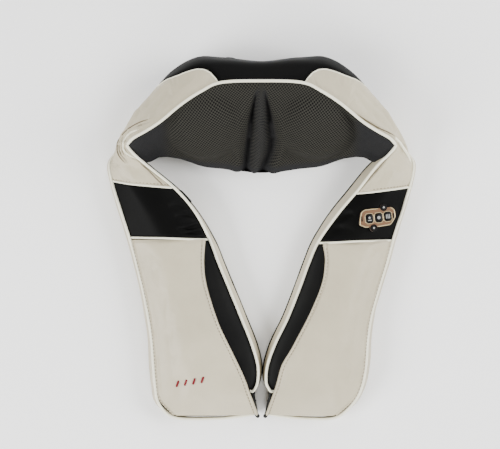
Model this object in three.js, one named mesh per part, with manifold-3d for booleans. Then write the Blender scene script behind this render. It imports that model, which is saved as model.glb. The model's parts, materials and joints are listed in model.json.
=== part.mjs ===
// Shiatsu neck massager: padded collar, two flat arms with hand pockets, twin rotating massage heads.
// Millimetres, +Z up, X to the wearer's left-right, +Y to the back of the neck pad.
import * as THREE from 'three';
import Module from 'manifold-3d';
import { mergeVertices } from 'three/addons/utils/BufferGeometryUtils.js';

const wasm = await Module();
wasm.setup();

// ---------- driving sizes ----------
const GAP = 0.3;                 // clearance between neighbouring solids
const PAD_END = 146;             // half width of the straight neck pad
const CENTRE_PANEL = 63;         // half width of the black centre panel
const WALL = 6.5;                // padded cover thickness
const TILT = 36 * Math.PI / 180; // slope of the massage mechanism
const MECH_Y = 142;              // mechanism origin on the padded face
const MECH_Z = 56;
const HEAD_X = 72;               // head axis either side of the middle
const HEAD_V = 5.5;                // head axis up the slope
const TEETH = 20;
const MODULE = 1.5;
const WHEEL_R = TEETH * MODULE / 2;
const WORM_R = 5.2;
const LEAD = Math.PI * MODULE;   // single start worm
const GEAR_W = -40.5;            // height of the gear plane along the head axis
const WHEEL_T = 8;
const WORM_V = HEAD_V + WHEEL_R + WORM_R;
const BALL_R = 16;
const BALL_ORBIT = 27;
const SMALL_R = 13;
const SMALL_ORBIT = 26;
const POST_R = 4;
const SHAFT_R = 5;
const CUT_Y = 95;                // plane where each arm leaves the shoulder
const POCKET_Y = -1.5;           // where the hand pocket begins
const PIPE_R = 2.2;
const CTRL = { x: 150, y: 28, z: 46, turn: 6, tilt: 8 };
const BUTTON_TRAVEL = 1.2;

// ---------- finishes ----------
const finish = (color, roughness, metalness = 0) => ({ color, roughness, metalness });
const WHITE_LEATHER = finish(0xc9c3b5, 0.5);
const BLACK_LEATHER = finish(0x1b1b19, 0.5);
const PIPING = finish(0xdad8c9, 0.6);
const SPACER_MESH = finish(0x33332f, 0.9);
const LINING = finish(0x3d3d3c, 0.9);
const FRAME_PLASTIC = finish(0x2b2d30, 0.6);
const NODE_PLASTIC = finish(0xb5552f, 0.35);
const STEEL = finish(0xa9abad, 0.35, 1);
const NYLON = finish(0xe7e2d2, 0.5);
const BRONZE = finish(0xa9793f, 0.4, 1);
const BOARD = finish(0x1f5a34, 0.6);
const LAMP = finish(0xc7352b, 0.2);
const COPPER = finish(0xa67d5a, 0.3, 0.6);
const KEY_BLACK = finish(0x161617, 0.35);

// ---------- helpers ----------
const group = new THREE.Group();
const V = (x, y, z) => new THREE.Vector3(x, y, z);

function solid(geometry) {
  let g = geometry.clone();
  g.deleteAttribute('normal');
  g.deleteAttribute('uv');
  g = mergeVertices(g, 1e-4);
  return new wasm.Manifold(new wasm.Mesh({
    numProp: 3,
    vertProperties: new Float32Array(g.attributes.position.array),
    triVerts: new Uint32Array(g.index.array),
  }));
}

function geometryOf(manifold) {
  const mesh = manifold.getMesh();
  const g = new THREE.BufferGeometry();
  g.setAttribute('position', new THREE.BufferAttribute(new Float32Array(mesh.vertProperties), 3));
  g.setIndex(new THREE.BufferAttribute(new Uint32Array(mesh.triVerts), 1));
  return g;
}

function cut(geometry, ...tools) {
  let body = solid(geometry);
  for (const tool of tools) body = body.subtract(solid(tool));
  return geometryOf(body);
}

function join(...geometries) {
  let body = solid(geometries[0]);
  for (const other of geometries.slice(1)) body = body.add(solid(other));
  return geometryOf(body);
}

function keep(geometry, tool) {
  return geometryOf(solid(geometry).intersect(solid(tool)));
}

function mirrorX(geometry) {
  const g = geometry.clone();
  g.scale(-1, 1, 1);
  const index = g.index.array;
  for (let i = 0; i < index.length; i += 3) {
    const first = index[i];
    index[i] = index[i + 1];
    index[i + 1] = first;
  }
  return g;
}

function put(name, geometry, look) {
  const g = geometry.toNonIndexed();
  g.deleteAttribute('uv');
  g.computeVertexNormals();
  const mesh = new THREE.Mesh(g, new THREE.MeshStandardMaterial(look));
  mesh.name = name;
  group.add(mesh);
}

// A closed body through rings that all hold the same number of points.
function loft(rings) {
  const n = rings[0].length;
  const points = rings.flat();
  const index = [];
  for (let i = 0; i < rings.length - 1; i++) {
    for (let j = 0; j < n; j++) {
      const a = i * n + j;
      const b = i * n + (j + 1) % n;
      index.push(a, b, b + n, a, b + n, a + n);
    }
  }
  for (const [ring, flip] of [[0, true], [rings.length - 1, false]]) {
    const middle = V(0, 0, 0);
    for (const p of rings[ring]) middle.addScaledVector(p, 1 / n);
    points.push(middle);
    for (let j = 0; j < n; j++) {
      const a = ring * n + j;
      const b = ring * n + (j + 1) % n;
      index.push(...(flip ? [b, a, points.length - 1] : [a, b, points.length - 1]));
    }
  }
  const g = new THREE.BufferGeometry();
  g.setAttribute('position', new THREE.Float32BufferAttribute(points.flatMap(p => [p.x, p.y, p.z]), 3));
  g.setIndex(index);
  return outward(g);
}

// Turns a closed body's triangles to face out.
function outward(g) {
  const p = g.attributes.position;
  const index = g.index.array;
  const [a, b, c] = [V(), V(), V()];
  let volume = 0;
  for (let i = 0; i < index.length; i += 3) {
    a.fromBufferAttribute(p, index[i]);
    b.fromBufferAttribute(p, index[i + 1]);
    c.fromBufferAttribute(p, index[i + 2]);
    volume += a.dot(b.cross(c));
  }
  if (volume > 0) return g;
  for (let i = 0; i < index.length; i += 3) {
    const first = index[i];
    index[i] = index[i + 1];
    index[i + 1] = first;
  }
  return g;
}

// Cuts every corner of a ring back by the given length.
function chamfer(ring, length) {
  const out = [];
  for (let i = 0; i < ring.length; i++) {
    const before = ring[(i + ring.length - 1) % ring.length];
    const after = ring[(i + 1) % ring.length];
    for (const side of [before, after]) {
      const step = side.clone().sub(ring[i]);
      const reach = Math.min(length, step.length() * 0.4);
      out.push(ring[i].clone().addScaledVector(step.normalize(), reach));
    }
  }
  return out;
}

// Value of a table of [place, value, value...] rows at one place.
function at(table, place) {
  const last = table.length - 1;
  if (place <= table[0][0]) return table[0].slice(1);
  if (place >= table[last][0]) return table[last].slice(1);
  const i = table.findIndex((row, k) => k < last && place <= table[k + 1][0]);
  const f = (place - table[i][0]) / (table[i + 1][0] - table[i][0]);
  return table[i].slice(1).map((v, k) => v + f * (table[i + 1][k + 1] - v));
}

function tube(points, radius, steps, sides) {
  const shape = new THREE.Shape();
  shape.absarc(0, 0, radius, 0, Math.PI * 2, false);
  const path = new THREE.CatmullRomCurve3(points, false, 'centripetal');
  const g = new THREE.ExtrudeGeometry(shape, { steps, extrudePath: path, curveSegments: sides });
  return mergeIndex(g);
}

function mergeIndex(geometry) {
  geometry.deleteAttribute('normal');
  geometry.deleteAttribute('uv');
  return mergeVertices(geometry, 1e-4);
}

function rod(radius, from, to, sides = 24) {
  const g = new THREE.CylinderGeometry(radius, radius, to - from, sides);
  g.rotateX(Math.PI / 2);
  g.translate(0, 0, (from + to) / 2);
  return g;
}

function block(x0, x1, y0, y1, z0, z1) {
  const g = new THREE.BoxGeometry(x1 - x0, y1 - y0, z1 - z0);
  g.translate((x0 + x1) / 2, (y0 + y1) / 2, (z0 + z1) / 2);
  return g;
}

// ---------- neck pad ----------
// half width x, then y and z of: piping edge, back bulge, back foot, front foot, front edge
const PAD = [
  [0, 201, 92, 236, 42, 228, 0, 102, 0, 89, 20],
  [51, 199, 92, 241, 42, 232, 0, 105, 0, 94, 20],
  [76, 188, 92, 242, 42, 231, 0, 107, 0, 96, 20],
  [101, 172, 90, 234, 42, 222, 0, 112, 0, 103, 20],
  [127, 151, 87, 213, 42, 202, 0, 117, 0, 108, 20],
  [PAD_END, 139, 83, 191, 42, 181, 0, 113, 0, 103, 20],
];
const STATIONS = [...PAD.map(r => -r[0]).reverse(), ...PAD.slice(1).map(r => r[0])];

function padRing(x) {
  const v = at(PAD, Math.abs(x));
  return [V(x, v[0], v[1]), V(x, v[2], v[3]), V(x, v[4], v[5]), V(x, v[6], v[7]), V(x, v[8], v[9])];
}

function cavityRing(x) {
  const v = at(PAD, Math.abs(x));
  return [
    V(x, v[0] + 3, v[1] + 8), V(x, v[0] + 1, v[1] - WALL * 1.6), V(x, v[2] - WALL * 1.2, v[3] + 1),
    V(x, v[4] - WALL * 1.2, WALL), V(x, v[6] + WALL * 1.4, WALL), V(x, v[8] + WALL * 1.5, v[9] + 1),
    V(x, v[8] + WALL * 1.2 - 8, v[9] + 14),
  ];
}

const CAVITY_END = 128;
const padBody = loft(STATIONS.map(x => chamfer(padRing(x), 6)));
const cavity = loft([-CAVITY_END, -101, -76, -51, 0, 51, 76, 101, CAVITY_END].map(cavityRing));
const inletHole = rod(6.4, -12, 12);
inletHole.rotateX(Math.PI / 2);
inletHole.translate(-40, 235, 30);
const tub = cut(padBody, cavity, inletHole);
put('pad_cover_centre', keep(tub, block(-CENTRE_PANEL, CENTRE_PANEL, 0, 300, -5, 120)), BLACK_LEATHER);
const padSide = keep(tub, block(CENTRE_PANEL + GAP, 200, 0, 300, -5, 120));
put('pad_cover_right', padSide, WHITE_LEATHER);
put('pad_cover_left', mirrorX(padSide), WHITE_LEATHER);

// Breathable cover, domed over both heads and pleated in the middle.
const ramp = f => {
  const c = Math.min(1, Math.max(0, f));
  return c * c * (3 - 2 * c);
};
const up = (y, z) => (y - MECH_Y) * Math.cos(TILT) + (z - MECH_Z) * Math.sin(TILT);

function coverHeight(x, t, v) {
  const rim = ramp(t / 0.14) * ramp((1 - t) / 0.14);
  const reach = Math.hypot(Math.abs(x) - HEAD_X, v - HEAD_V);
  const bump = 18 * (1 - ramp((reach - 27) / 33));
  const pleat = 5 * Math.exp(-((x / 12) ** 2));
  const ends = ramp((PAD_END - 2 - Math.abs(x)) / 12);
  return rim * ends * Math.max(0, bump + 5 - pleat);
}

function coverRing(x, across) {
  const v = at(PAD, Math.abs(x));
  const face = (t, lift) => {
    const y = v[8] + (v[0] - v[8]) * t;
    const z = v[9] + (v[1] - v[9]) * t;
    const h = coverHeight(x, t, up(y, z)) + lift;
    return V(x, y - h * Math.sin(TILT), z + h * Math.cos(TILT));
  };
  const low = 0.055;
  const top = 0.945;
  const ring = [];
  for (let i = 0; i <= across; i++) ring.push(face(low + (top - low) * i / across, 4.2));
  for (let i = across; i >= 0; i--) ring.push(face(low + (top - low) * i / across, GAP + 0.4));
  return ring;
}
const coverStations = [];
for (let x = -144; x <= 144; x += 18) coverStations.push(x);
put('mesh_cover', loft(coverStations.map(x => coverRing(x, 9))), SPACER_MESH);

// ---------- shoulders: the band stands on edge and folds round into each arm ----------
const shoulderRings = [
  [V(PAD_END + GAP, 139, 83), V(PAD_END + GAP, 191, 42), V(PAD_END + GAP, 181, 0),
    V(PAD_END + GAP, 113, 0), V(PAD_END + GAP, 103, 20)],
  [V(163, 130, 78), V(178, 150, 42), V(170, 152, 1), V(158, 118, 1), V(156, 112, 30)],
  [V(172, 122, 71), V(193, 124, 38), V(188, 126, 1), V(170, 112, 1), V(160, 110, 40)],
  [V(162, 109, 62), V(196, 111, 38), V(202, 113, 12), V(190, 104, 1), V(150, 101, 42)],
  [V(145, CUT_Y, 50), V(182, CUT_Y, 46), V(203, CUT_Y, 20), V(195, CUT_Y, 1), V(140, CUT_Y, 30)],
];
const shoulder = loft(shoulderRings.map(ring => chamfer(ring, 5)));
put('shoulder_pad_right', shoulder, WHITE_LEATHER);
put('shoulder_pad_left', mirrorX(shoulder), WHITE_LEATHER);

// ---------- arms ----------
// y of the inner edge, its x, then x and y of the outer edge
const ARM = [
  [-94.7, 142, 203, 94.7], [-66, 125, 198, 70], [-35, 100, 186, 36], [1.2, 73, 173, -1.2],
  [1.5, 73, 173, -1.5], [30, 60, 164, -33], [64, 47, 155, -68], [103, 30, 149, -103],
  [137, 16, 143, -134], [165, 9, 140, -166], [191, 9, 136, -194], [214, 11, 128, -218],
  [234, 16, 112, -240.6],
];

// profile: [share of the width from the inner edge, height] pairs
function armRing(y, profile) {
  const [hx, lx, ly] = at(ARM, -y);
  return profile.map(([s, z]) => V(hx + (lx - hx) * s, y + (ly - y) * s, z));
}

const TOP_S = [0.05, 0.3, 0.5, 0.72, 0.88, 0.97, 1];
// y, medial height, crown, lateral height, underside at the inner edge
const CROWN = [[-94.7, 46, 49, 22, 26], [-66, 40, 48, 22, 9], [-35, 36, 48, 20, 1], [1.5, 33, 46, 20, 0]];

function crownProfile(y, drop) {
  const [zh, zc, zl, zb] = at(CROWN, -y);
  const heights = [zh, zc - 2, zc, zc - 2, zc - 8, zl + 6, zl];
  const top = TOP_S.map((s, i) => [s, heights[i] - drop]);
  return [[0, zb + 5], [0, zh - 4.5 - drop], ...top, [1, 6], [0.96, 0], [0.06, zb]];
}

function bandProfile(y) {
  const [zh, zc] = at(CROWN, -y);
  const heights = [zh, zc - 2, zc, zc - 2, zc - 8];
  const top = heights.map((z, i) => [TOP_S[i], z]);
  const under = top.map(([s, z]) => [s, z - 3]).reverse();
  return [...top, ...under];
}

const BAND_TOP_Y = 64;
const rootRings = [-94.7, -80, -BAND_TOP_Y - 0.6].map(k => armRing(-k, crownProfile(-k, 0)));
const BAND_RINGS = [-57, -50, -42, -35, -26, -17, -8, 1.2];
for (const k of [-BAND_TOP_Y, ...BAND_RINGS]) rootRings.push(armRing(-k, crownProfile(-k, 6.9)));
const armRoot = loft(rootRings);
const band = loft([-BAND_TOP_Y + GAP, ...BAND_RINGS].map(k => armRing(-k, bandProfile(-k))));

// Control unit in its own frame: long side across the arm, keys facing up.
const toControl = new THREE.Matrix4().makeTranslation(CTRL.x, CTRL.y, CTRL.z)
  .multiply(new THREE.Matrix4().makeRotationZ(CTRL.turn * Math.PI / 180))
  .multiply(new THREE.Matrix4().makeRotationY(CTRL.tilt * Math.PI / 180));
const inControl = geometry => geometry.applyMatrix4(toControl);
const BEZEL = [[-24, -3], [-21, 9], [-15, 12.5], [19, 12.5], [24, 8], [24, -1], [17, -10], [9, -11],
  [-3, -11.5], [-17, -10.5], [-24, -7]];
const SMALL_KEYS = [[9.8, 13], [-6, -12.2]];
const MAIN_KEYS = [[-10.5, 0.4], [1.8, 0.4], [14, 0.8]];

function plate(outline, from, to) {
  const shape = new THREE.Shape(outline.map(([x, y]) => new THREE.Vector2(x, y)));
  const g = new THREE.ExtrudeGeometry(shape, { depth: to - from, bevelEnabled: false });
  g.translate(0, 0, from);
  return mergeIndex(g);
}

function shift(geometry, x, y, z = 0) {
  geometry.translate(x, y, z);
  return geometry;
}

const grown = BEZEL.map(([x, y]) => [x * 1.025, y * 1.05]);
const well = join(plate(grown, -13, 20), ...SMALL_KEYS.map(([x, y]) => shift(rod(5.2, -13, 20), x, y)));
const wellAtArm = inControl(well);
put('arm_root_right', cut(armRoot, wellAtArm), WHITE_LEATHER);
put('arm_root_left', mirrorX(armRoot), WHITE_LEATHER);
put('band_right', cut(band, wellAtArm), BLACK_LEATHER);
put('band_left', mirrorX(band), BLACK_LEATHER);

const keyHoles = [
  ...MAIN_KEYS.map(([x, y]) => block(x - 5, x + 5, y - 6, y + 6, -20, 20)),
  ...SMALL_KEYS.map(([x, y]) => shift(rod(3, -20, 20), x, y)),
];
const bezelBlank = join(plate(BEZEL, 0, 3), ...SMALL_KEYS.map(([x, y]) => shift(rod(4.7, 0, 3), x, y)));
put('control_bezel', inControl(cut(bezelBlank, ...keyHoles)), COPPER);
const trayBlank = join(plate(BEZEL, -12, -GAP), ...SMALL_KEYS.map(([x, y]) => shift(rod(4.7, -12, -GAP), x, y)));
const hollow = join(plate(BEZEL.map(([x, y]) => [x * 0.93, y * 0.87]), -10.5, 5),
  ...SMALL_KEYS.map(([x, y]) => shift(rod(3.4, -10.5, 5), x, y)));
put('control_tray', inControl(cut(trayBlank, hollow)), FRAME_PLASTIC);
put('control_board', inControl(block(-16, 15, -7.5, 7.5, -9, -7.4)), BOARD);
MAIN_KEYS.forEach(([x, y], i) => {
  const key = block(x - 4.7, x + 4.7, y - 5.7, y + 5.7, -5.5, 4.2);
  put(`key_main_${i + 1}`, inControl(key), KEY_BLACK);
});
SMALL_KEYS.forEach(([x, y], i) => {
  put(`key_small_${i + 1}`, inControl(shift(rod(2.7, -8, 4), x, y)), KEY_BLACK);
});

// Flat lower arm: foam pad, lining and the raised pocket panel whose inner hem stays open.
const FLAT = [1.8, 14, 30, 47, 64, 83, 103, 120, 137, 151, 165, 178, 191, 203, 214, 225, 234];
const endDrop = y => ramp((234 + y) / 34);
const padProfile = y => {
  const e = 0.55 + 0.45 * endDrop(y);
  return [[0, 4], [0.02, 0], [0.97, 0], [1, 5], [1, 18 * e], [0.96, 25 * e], [0.05, 25 * e], [0, 21 * e]];
};
const liningProfile = y => {
  const z = 25 * (0.55 + 0.45 * endDrop(y)) + GAP;
  return [[0.06, z], [0.95, z], [0.95, z + 1], [0.06, z + 1]];
};
// y, hem position as a share of the width
const HEM = [[1.5, 0.05], [30, 0.18], [64, 0.25], [103, 0.235], [137, 0.197], [165, 0.137], [191, 0.09],
  [214, 0.08], [234, 0.08]];
const panelProfile = y => {
  const [hem] = at(HEM, -y);
  const e = endDrop(y);
  const base = 25 * (0.55 + 0.45 * e) + 1.6;
  const lift = [13, 14, 14, 13, 8, 1];
  const share = [0, 0.25, 0.5, 0.75, 0.9, 0.965];
  const s = f => hem + (1 - hem) * f;
  const under = share.map((f, i) => [s(f), base + lift[i] * e]);
  const outer = share.map((f, i) => [s(Math.min(1, f * 1.012)), base + lift[i] * e + 5.5]);
  outer[5] = [0.995, base + 2.5];
  return [...outer, ...under.reverse()];
};
const armPad = loft(FLAT.map(k => armRing(-k, padProfile(-k))));
const lining = loft(FLAT.map(k => armRing(-k, liningProfile(-k))));
const panel = loft(FLAT.map(k => armRing(-k, panelProfile(-k))));
const pipeY = [-90, -66, -35, -8, 20, 47, 83, 120, 150, 178, 203, 226];
const armPiping = tube(pipeY.map(k => {
  const [hx] = at(ARM, k);
  const z = k < 1 ? at(CROWN, k)[0] : 25 * (0.55 + 0.45 * endDrop(-k)) + 1;
  return V(hx - 1.2, -k, z + 1.2);
}), PIPE_R, 24, 3);
for (const [side, turn] of [['right', g => g], ['left', mirrorX]]) {
  put(`arm_pad_${side}`, turn(armPad), WHITE_LEATHER);
  put(`pocket_lining_${side}`, turn(lining), LINING);
  put(`pocket_panel_${side}`, turn(panel), WHITE_LEATHER);
  put(`arm_piping_${side}`, turn(armPiping), PIPING);
}

const tab = new THREE.BoxGeometry(25, 2.4, 9);
tab.rotateZ(50 * Math.PI / 180);
tab.translate(106.5, 52, 18);
put('side_tab', mirrorX(tab), BLACK_LEATHER);

// Piping along the top edge of the neck pad.
const edge = [[0, 201, 92], [51, 199, 92], [76, 188, 92], [101, 172, 90], [127, 151, 87], [143, 140, 84]];
const neckLine = [...edge.slice(1).map(([x, y, z]) => V(-x, y, z)).reverse(), ...edge.map(p => V(...p))];
put('neck_piping', tube(neckLine, PIPE_R, 30, 3), PIPING);

// ---------- massage mechanism, in its sloping frame ----------
const toPad = new THREE.Matrix4().makeRotationX(TILT).setPosition(0, MECH_Y, MECH_Z);
const inPad = geometry => geometry.applyMatrix4(toPad);

function shell(x0, x1, y0, y1, z0, z1, wall) {
  return cut(block(x0, x1, y0, y1, z0, z1), block(x0 + wall, x1 - wall, y0 + wall, y1 - wall, z0 + wall, z1 + 5));
}

const BOX = { x: 104, v0: -13.6, v1: 46, floor: -50.5, rim: -33 };
const SCREWS = [[-97, -6.5], [97, -6.5], [-97, 39], [97, 39]];
const motorSlot = block(-27, 27, 8, 60, -70, 0);
const shaftHoles = () => [-HEAD_X, HEAD_X].map(x => shift(rod(8.3, -70, 0), x, HEAD_V));
const bosses = SCREWS.map(([x, v]) => shift(rod(3.6, -49, BOX.rim, 16), x, v));
const boxBlank = join(shell(-BOX.x, BOX.x, BOX.v0, BOX.v1, BOX.floor, BOX.rim, 2.2), ...bosses);
const screwHoles = () => SCREWS.map(([x, v]) => shift(rod(1.8, -45, 0, 12), x, v));
put('gearbox_base', inPad(cut(boxBlank, motorSlot, ...shaftHoles(), ...screwHoles())), FRAME_PLASTIC);
const lid = block(-BOX.x, BOX.x, BOX.v0, BOX.v1, -32.7, -29.7);
put('gearbox_cover', inPad(cut(lid, motorSlot, ...shaftHoles(), ...screwHoles())), FRAME_PLASTIC);
SCREWS.forEach(([x, v], i) => {
  const screw = join(rod(3.2, -29.4, -27.6, 12), rod(1.5, -43, -29, 12));
  put(`screw_${i + 1}`, inPad(shift(screw, x, v)), STEEL);
});
const ring = (outer, inner, from, to) => cut(rod(outer, from, to), rod(inner, from - 5, to + 5));
[-HEAD_X, HEAD_X].forEach((x, i) => {
  const side = i ? 'right' : 'left';
  put(`bush_lower_${side}`, inPad(shift(ring(8, 5.15, -51, -46.5), x, HEAD_V)), BRONZE);
  put(`bush_upper_${side}`, inPad(shift(ring(8, 5.15, -34, -29.5), x, HEAD_V)), BRONZE);
});

const can = new THREE.CylinderGeometry(17, 17, 50, 32);
can.rotateZ(Math.PI / 2);
can.translate(0, WORM_V, GEAR_W);
const along = (radius, from, to, sides = 16) => {
  const g = new THREE.CylinderGeometry(radius, radius, to - from, sides);
  g.rotateZ(Math.PI / 2);
  g.translate((from + to) / 2, WORM_V, GEAR_W);
  return g;
};
put('motor_can', inPad(cut(join(can, along(7, -28, 28)), along(3.15, -40, 40))), STEEL);

// Worm shaft: opposite-handed worms so that the heads turn against each other.
function worm(x0, hand) {
  const turns = 3;
  const each = 12;
  const rings = [];
  for (let i = 0; i <= turns * each; i++) {
    const turn = i / each - turns / 2;
    const a = Math.PI + turn * Math.PI * 2;
    const x = x0 + hand * turn * LEAD;
    const point = (dx, r) => V(x + dx, WORM_V + r * Math.cos(a), GEAR_W + r * Math.sin(a));
    rings.push([point(-1.35, 3.4), point(1.35, 3.4), point(0.45, 6.3), point(-0.45, 6.3)]);
  }
  return loft(rings);
}
const wormShaft = join(along(3, -97, 97), along(3.8, -86, -64), along(3.8, 64, 86),
  worm(HEAD_X, 1), worm(-HEAD_X, -1));
put('worm_shaft', inPad(wormShaft), STEEL);

function wheel(hand) {
  const twist = WHEEL_T * (LEAD / (2 * Math.PI * WORM_R)) / WHEEL_R * hand;
  const teeth = (z, turn) => {
    const ring = [];
    for (let k = 0; k < TEETH; k++) {
      const mid = Math.PI / 2 + (k + 0.5) * Math.PI * 2 / TEETH + turn;
      for (const [a, r] of [[-0.085, 13.2], [-0.034, 16], [0.034, 16], [0.085, 13.2]]) {
        ring.push(V(r * Math.cos(mid + a), r * Math.sin(mid + a), z));
      }
    }
    return ring;
  };
  const blank = loft([teeth(-WHEEL_T / 2, -twist / 2), teeth(WHEEL_T / 2, twist / 2)]);
  return cut(blank, rod(5.2, -10, 10));
}

function carrier() {
  const parts = [rod(9, -28.5, -22, 24)];
  for (let k = 0; k < 4; k++) {
    const arm = block(0, 33, -7, 7, -26, -22);
    const post = shift(rod(POST_R, -24, k % 2 ? -1 : 3), k % 2 ? SMALL_ORBIT : BALL_ORBIT, 0);
    for (const g of [arm, post]) g.rotateZ(k * Math.PI / 2);
    parts.push(arm, post);
  }
  return cut(join(...parts), rod(5.2, -40, -23.5));
}

function ball(radius, z, wall) {
  const g = new THREE.SphereGeometry(radius, 16, 10);
  g.rotateX(Math.PI / 2);
  return cut(shift(g, 0, 0, z), rod(POST_R + 0.12, z - radius - 1, z + wall));
}

[[-HEAD_X, 'left', -1], [HEAD_X, 'right', 1]].forEach(([x, side, hand]) => {
  put(`worm_wheel_${side}`, inPad(shift(wheel(hand), x, HEAD_V, GEAR_W)), NYLON);
  put(`output_shaft_${side}`, inPad(shift(rod(SHAFT_R, -50.5, -24), x, HEAD_V)), STEEL);
  put(`node_carrier_${side}`, inPad(shift(carrier(), x, HEAD_V)), FRAME_PLASTIC);
  for (let k = 0; k < 4; k++) {
    const small = k % 2;
    const g = small ? ball(SMALL_R, -5.5, 5) : ball(BALL_R, -3, 6.5);
    g.translate(small ? SMALL_ORBIT : BALL_ORBIT, 0, 0);
    g.rotateZ(k * Math.PI / 2);
    put(`massage_node_${side}_${k + 1}`, inPad(shift(g, x, HEAD_V)), NODE_PLASTIC);
  }
});

// Heat lamps between the heads, main board behind the motor, power inlet through the back.
[[-14, 'left'], [14, 'right']].forEach(([x, side]) => {
  const lampDome = new THREE.SphereGeometry(4, 16, 8);
  lampDome.rotateX(Math.PI / 2);
  const lamp = join(block(-9, 9, -7, 7, -19, -17.4), shift(rod(4, -18, -14, 16), 0, 0),
    shift(lampDome, 0, 0, -14), block(-2, 2, -6, -3, -29.4, -18));
  put(`heat_lamp_${side}`, inPad(shift(lamp, x, -4)), LAMP);
});
put('main_board', inPad(block(-45, 45, 51, 52.6, -60, -32)), BOARD);
const inlet = cut(rod(6, -238, -219), rod(3.2, -240, -226));
const inletBody = join(inlet, rod(0.9, -236.5, -220, 12));
inletBody.rotateX(Math.PI / 2);
inletBody.translate(-40, 0, 30);
put('power_inlet', inletBody, FRAME_PLASTIC);

export default group;
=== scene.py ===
"""Shiatsu neck massager: leather collar, mesh-covered head pad, two arms with hand pockets and a control unit."""

import json
import logging
import math
from collections.abc import Sequence
from dataclasses import dataclass, field
from enum import Enum

import bpy
import numpy as np
from mathutils import Matrix, Vector, noise


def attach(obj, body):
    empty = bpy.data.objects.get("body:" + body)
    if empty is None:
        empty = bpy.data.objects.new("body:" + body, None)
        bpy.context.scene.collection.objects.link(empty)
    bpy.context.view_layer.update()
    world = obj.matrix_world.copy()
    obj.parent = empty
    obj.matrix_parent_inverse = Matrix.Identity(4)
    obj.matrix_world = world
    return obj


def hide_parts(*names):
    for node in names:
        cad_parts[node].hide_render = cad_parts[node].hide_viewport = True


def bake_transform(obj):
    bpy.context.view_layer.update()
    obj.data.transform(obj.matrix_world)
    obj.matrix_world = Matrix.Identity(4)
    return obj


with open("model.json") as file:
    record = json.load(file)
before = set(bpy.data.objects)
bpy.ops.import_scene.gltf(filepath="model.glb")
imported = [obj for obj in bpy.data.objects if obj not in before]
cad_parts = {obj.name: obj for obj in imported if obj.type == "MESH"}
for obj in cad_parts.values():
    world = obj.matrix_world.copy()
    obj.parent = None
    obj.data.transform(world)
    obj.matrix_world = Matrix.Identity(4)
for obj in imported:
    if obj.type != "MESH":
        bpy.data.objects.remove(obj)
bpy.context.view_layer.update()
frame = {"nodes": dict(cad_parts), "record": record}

MM = 0.001
FLOOR_GAP = 1.4  # the least height of an underside's leather, so that its stuffing lumps stay off the table
log = logging.getLogger("massager")


class Bead(Enum):
    """What a raised fold line is made of: pale leather for a ridge, a cream cord whose colour is a painted highlight, a
    dark cord that is painted shade.
    """

    PALE = "pale leather"
    # A cream piping cord on a fold's ridge: a raised bead, and its light colour a painted highlight.
    PIPING = "piping"
    # A thin dark tan cord laid in a fold's crease: painted shade, not a seam.
    SEAM = "seam thread"


class Side(Enum):
    """Which arm a piece belongs to; the value is the sign of its x."""

    RIGHT = 1
    LEFT = -1

    @property
    def word(self) -> str:
        """The side's name as used in node and body names."""
        return self.name.lower()


# ---------------------------------------------------------------- finishes


def linear(hex_colour: str) -> tuple[float, float, float, float]:
    """Turns an sRGB hex colour into the linear values that shaders take.

    Args:
        hex_colour: six hex digits with a leading #.

    Returns:
        Linear red, green, blue and alpha.
    """
    values = [int(hex_colour[i : i + 2], 16) / 255 for i in (1, 3, 5)]
    turned = [v / 12.92 if v <= 0.04045 else ((v + 0.055) / 1.055) ** 2.4 for v in values]
    return (*turned, 1.0)


def add(
    tree: bpy.types.NodeTree, kind: str, settings: dict | None = None, links: dict | None = None
) -> bpy.types.Node:
    """Adds one node with its settings and links.

    Args:
        tree: the node tree.
        kind: the node's type name without the ShaderNode prefix.
        settings: attribute or input name or index to value.
        links: input name or index to the output socket that feeds it.

    Returns:
        The new node.
    """
    node = tree.nodes.new("ShaderNode" + kind)
    for key, value in (settings or {}).items():
        if isinstance(key, str) and hasattr(node, key):
            setattr(node, key, value)
        else:
            node.inputs[key].default_value = value
    for key, socket in (links or {}).items():
        tree.links.new(socket, node.inputs[key])
    return node


def blank(name: str) -> tuple[bpy.types.Material, bpy.types.NodeTree, bpy.types.Node]:
    """Makes an empty material with its main shader.

    Args:
        name: the material's name.

    Returns:
        The material, its node tree and its principled shader.
    """
    material = bpy.data.materials.new(name)
    material.use_nodes = True
    tree = material.node_tree
    tree.nodes.clear()
    shader = add(tree, "BsdfPrincipled")
    add(tree, "OutputMaterial", links={"Surface": shader.outputs["BSDF"]})
    return material, tree, shader


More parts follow.
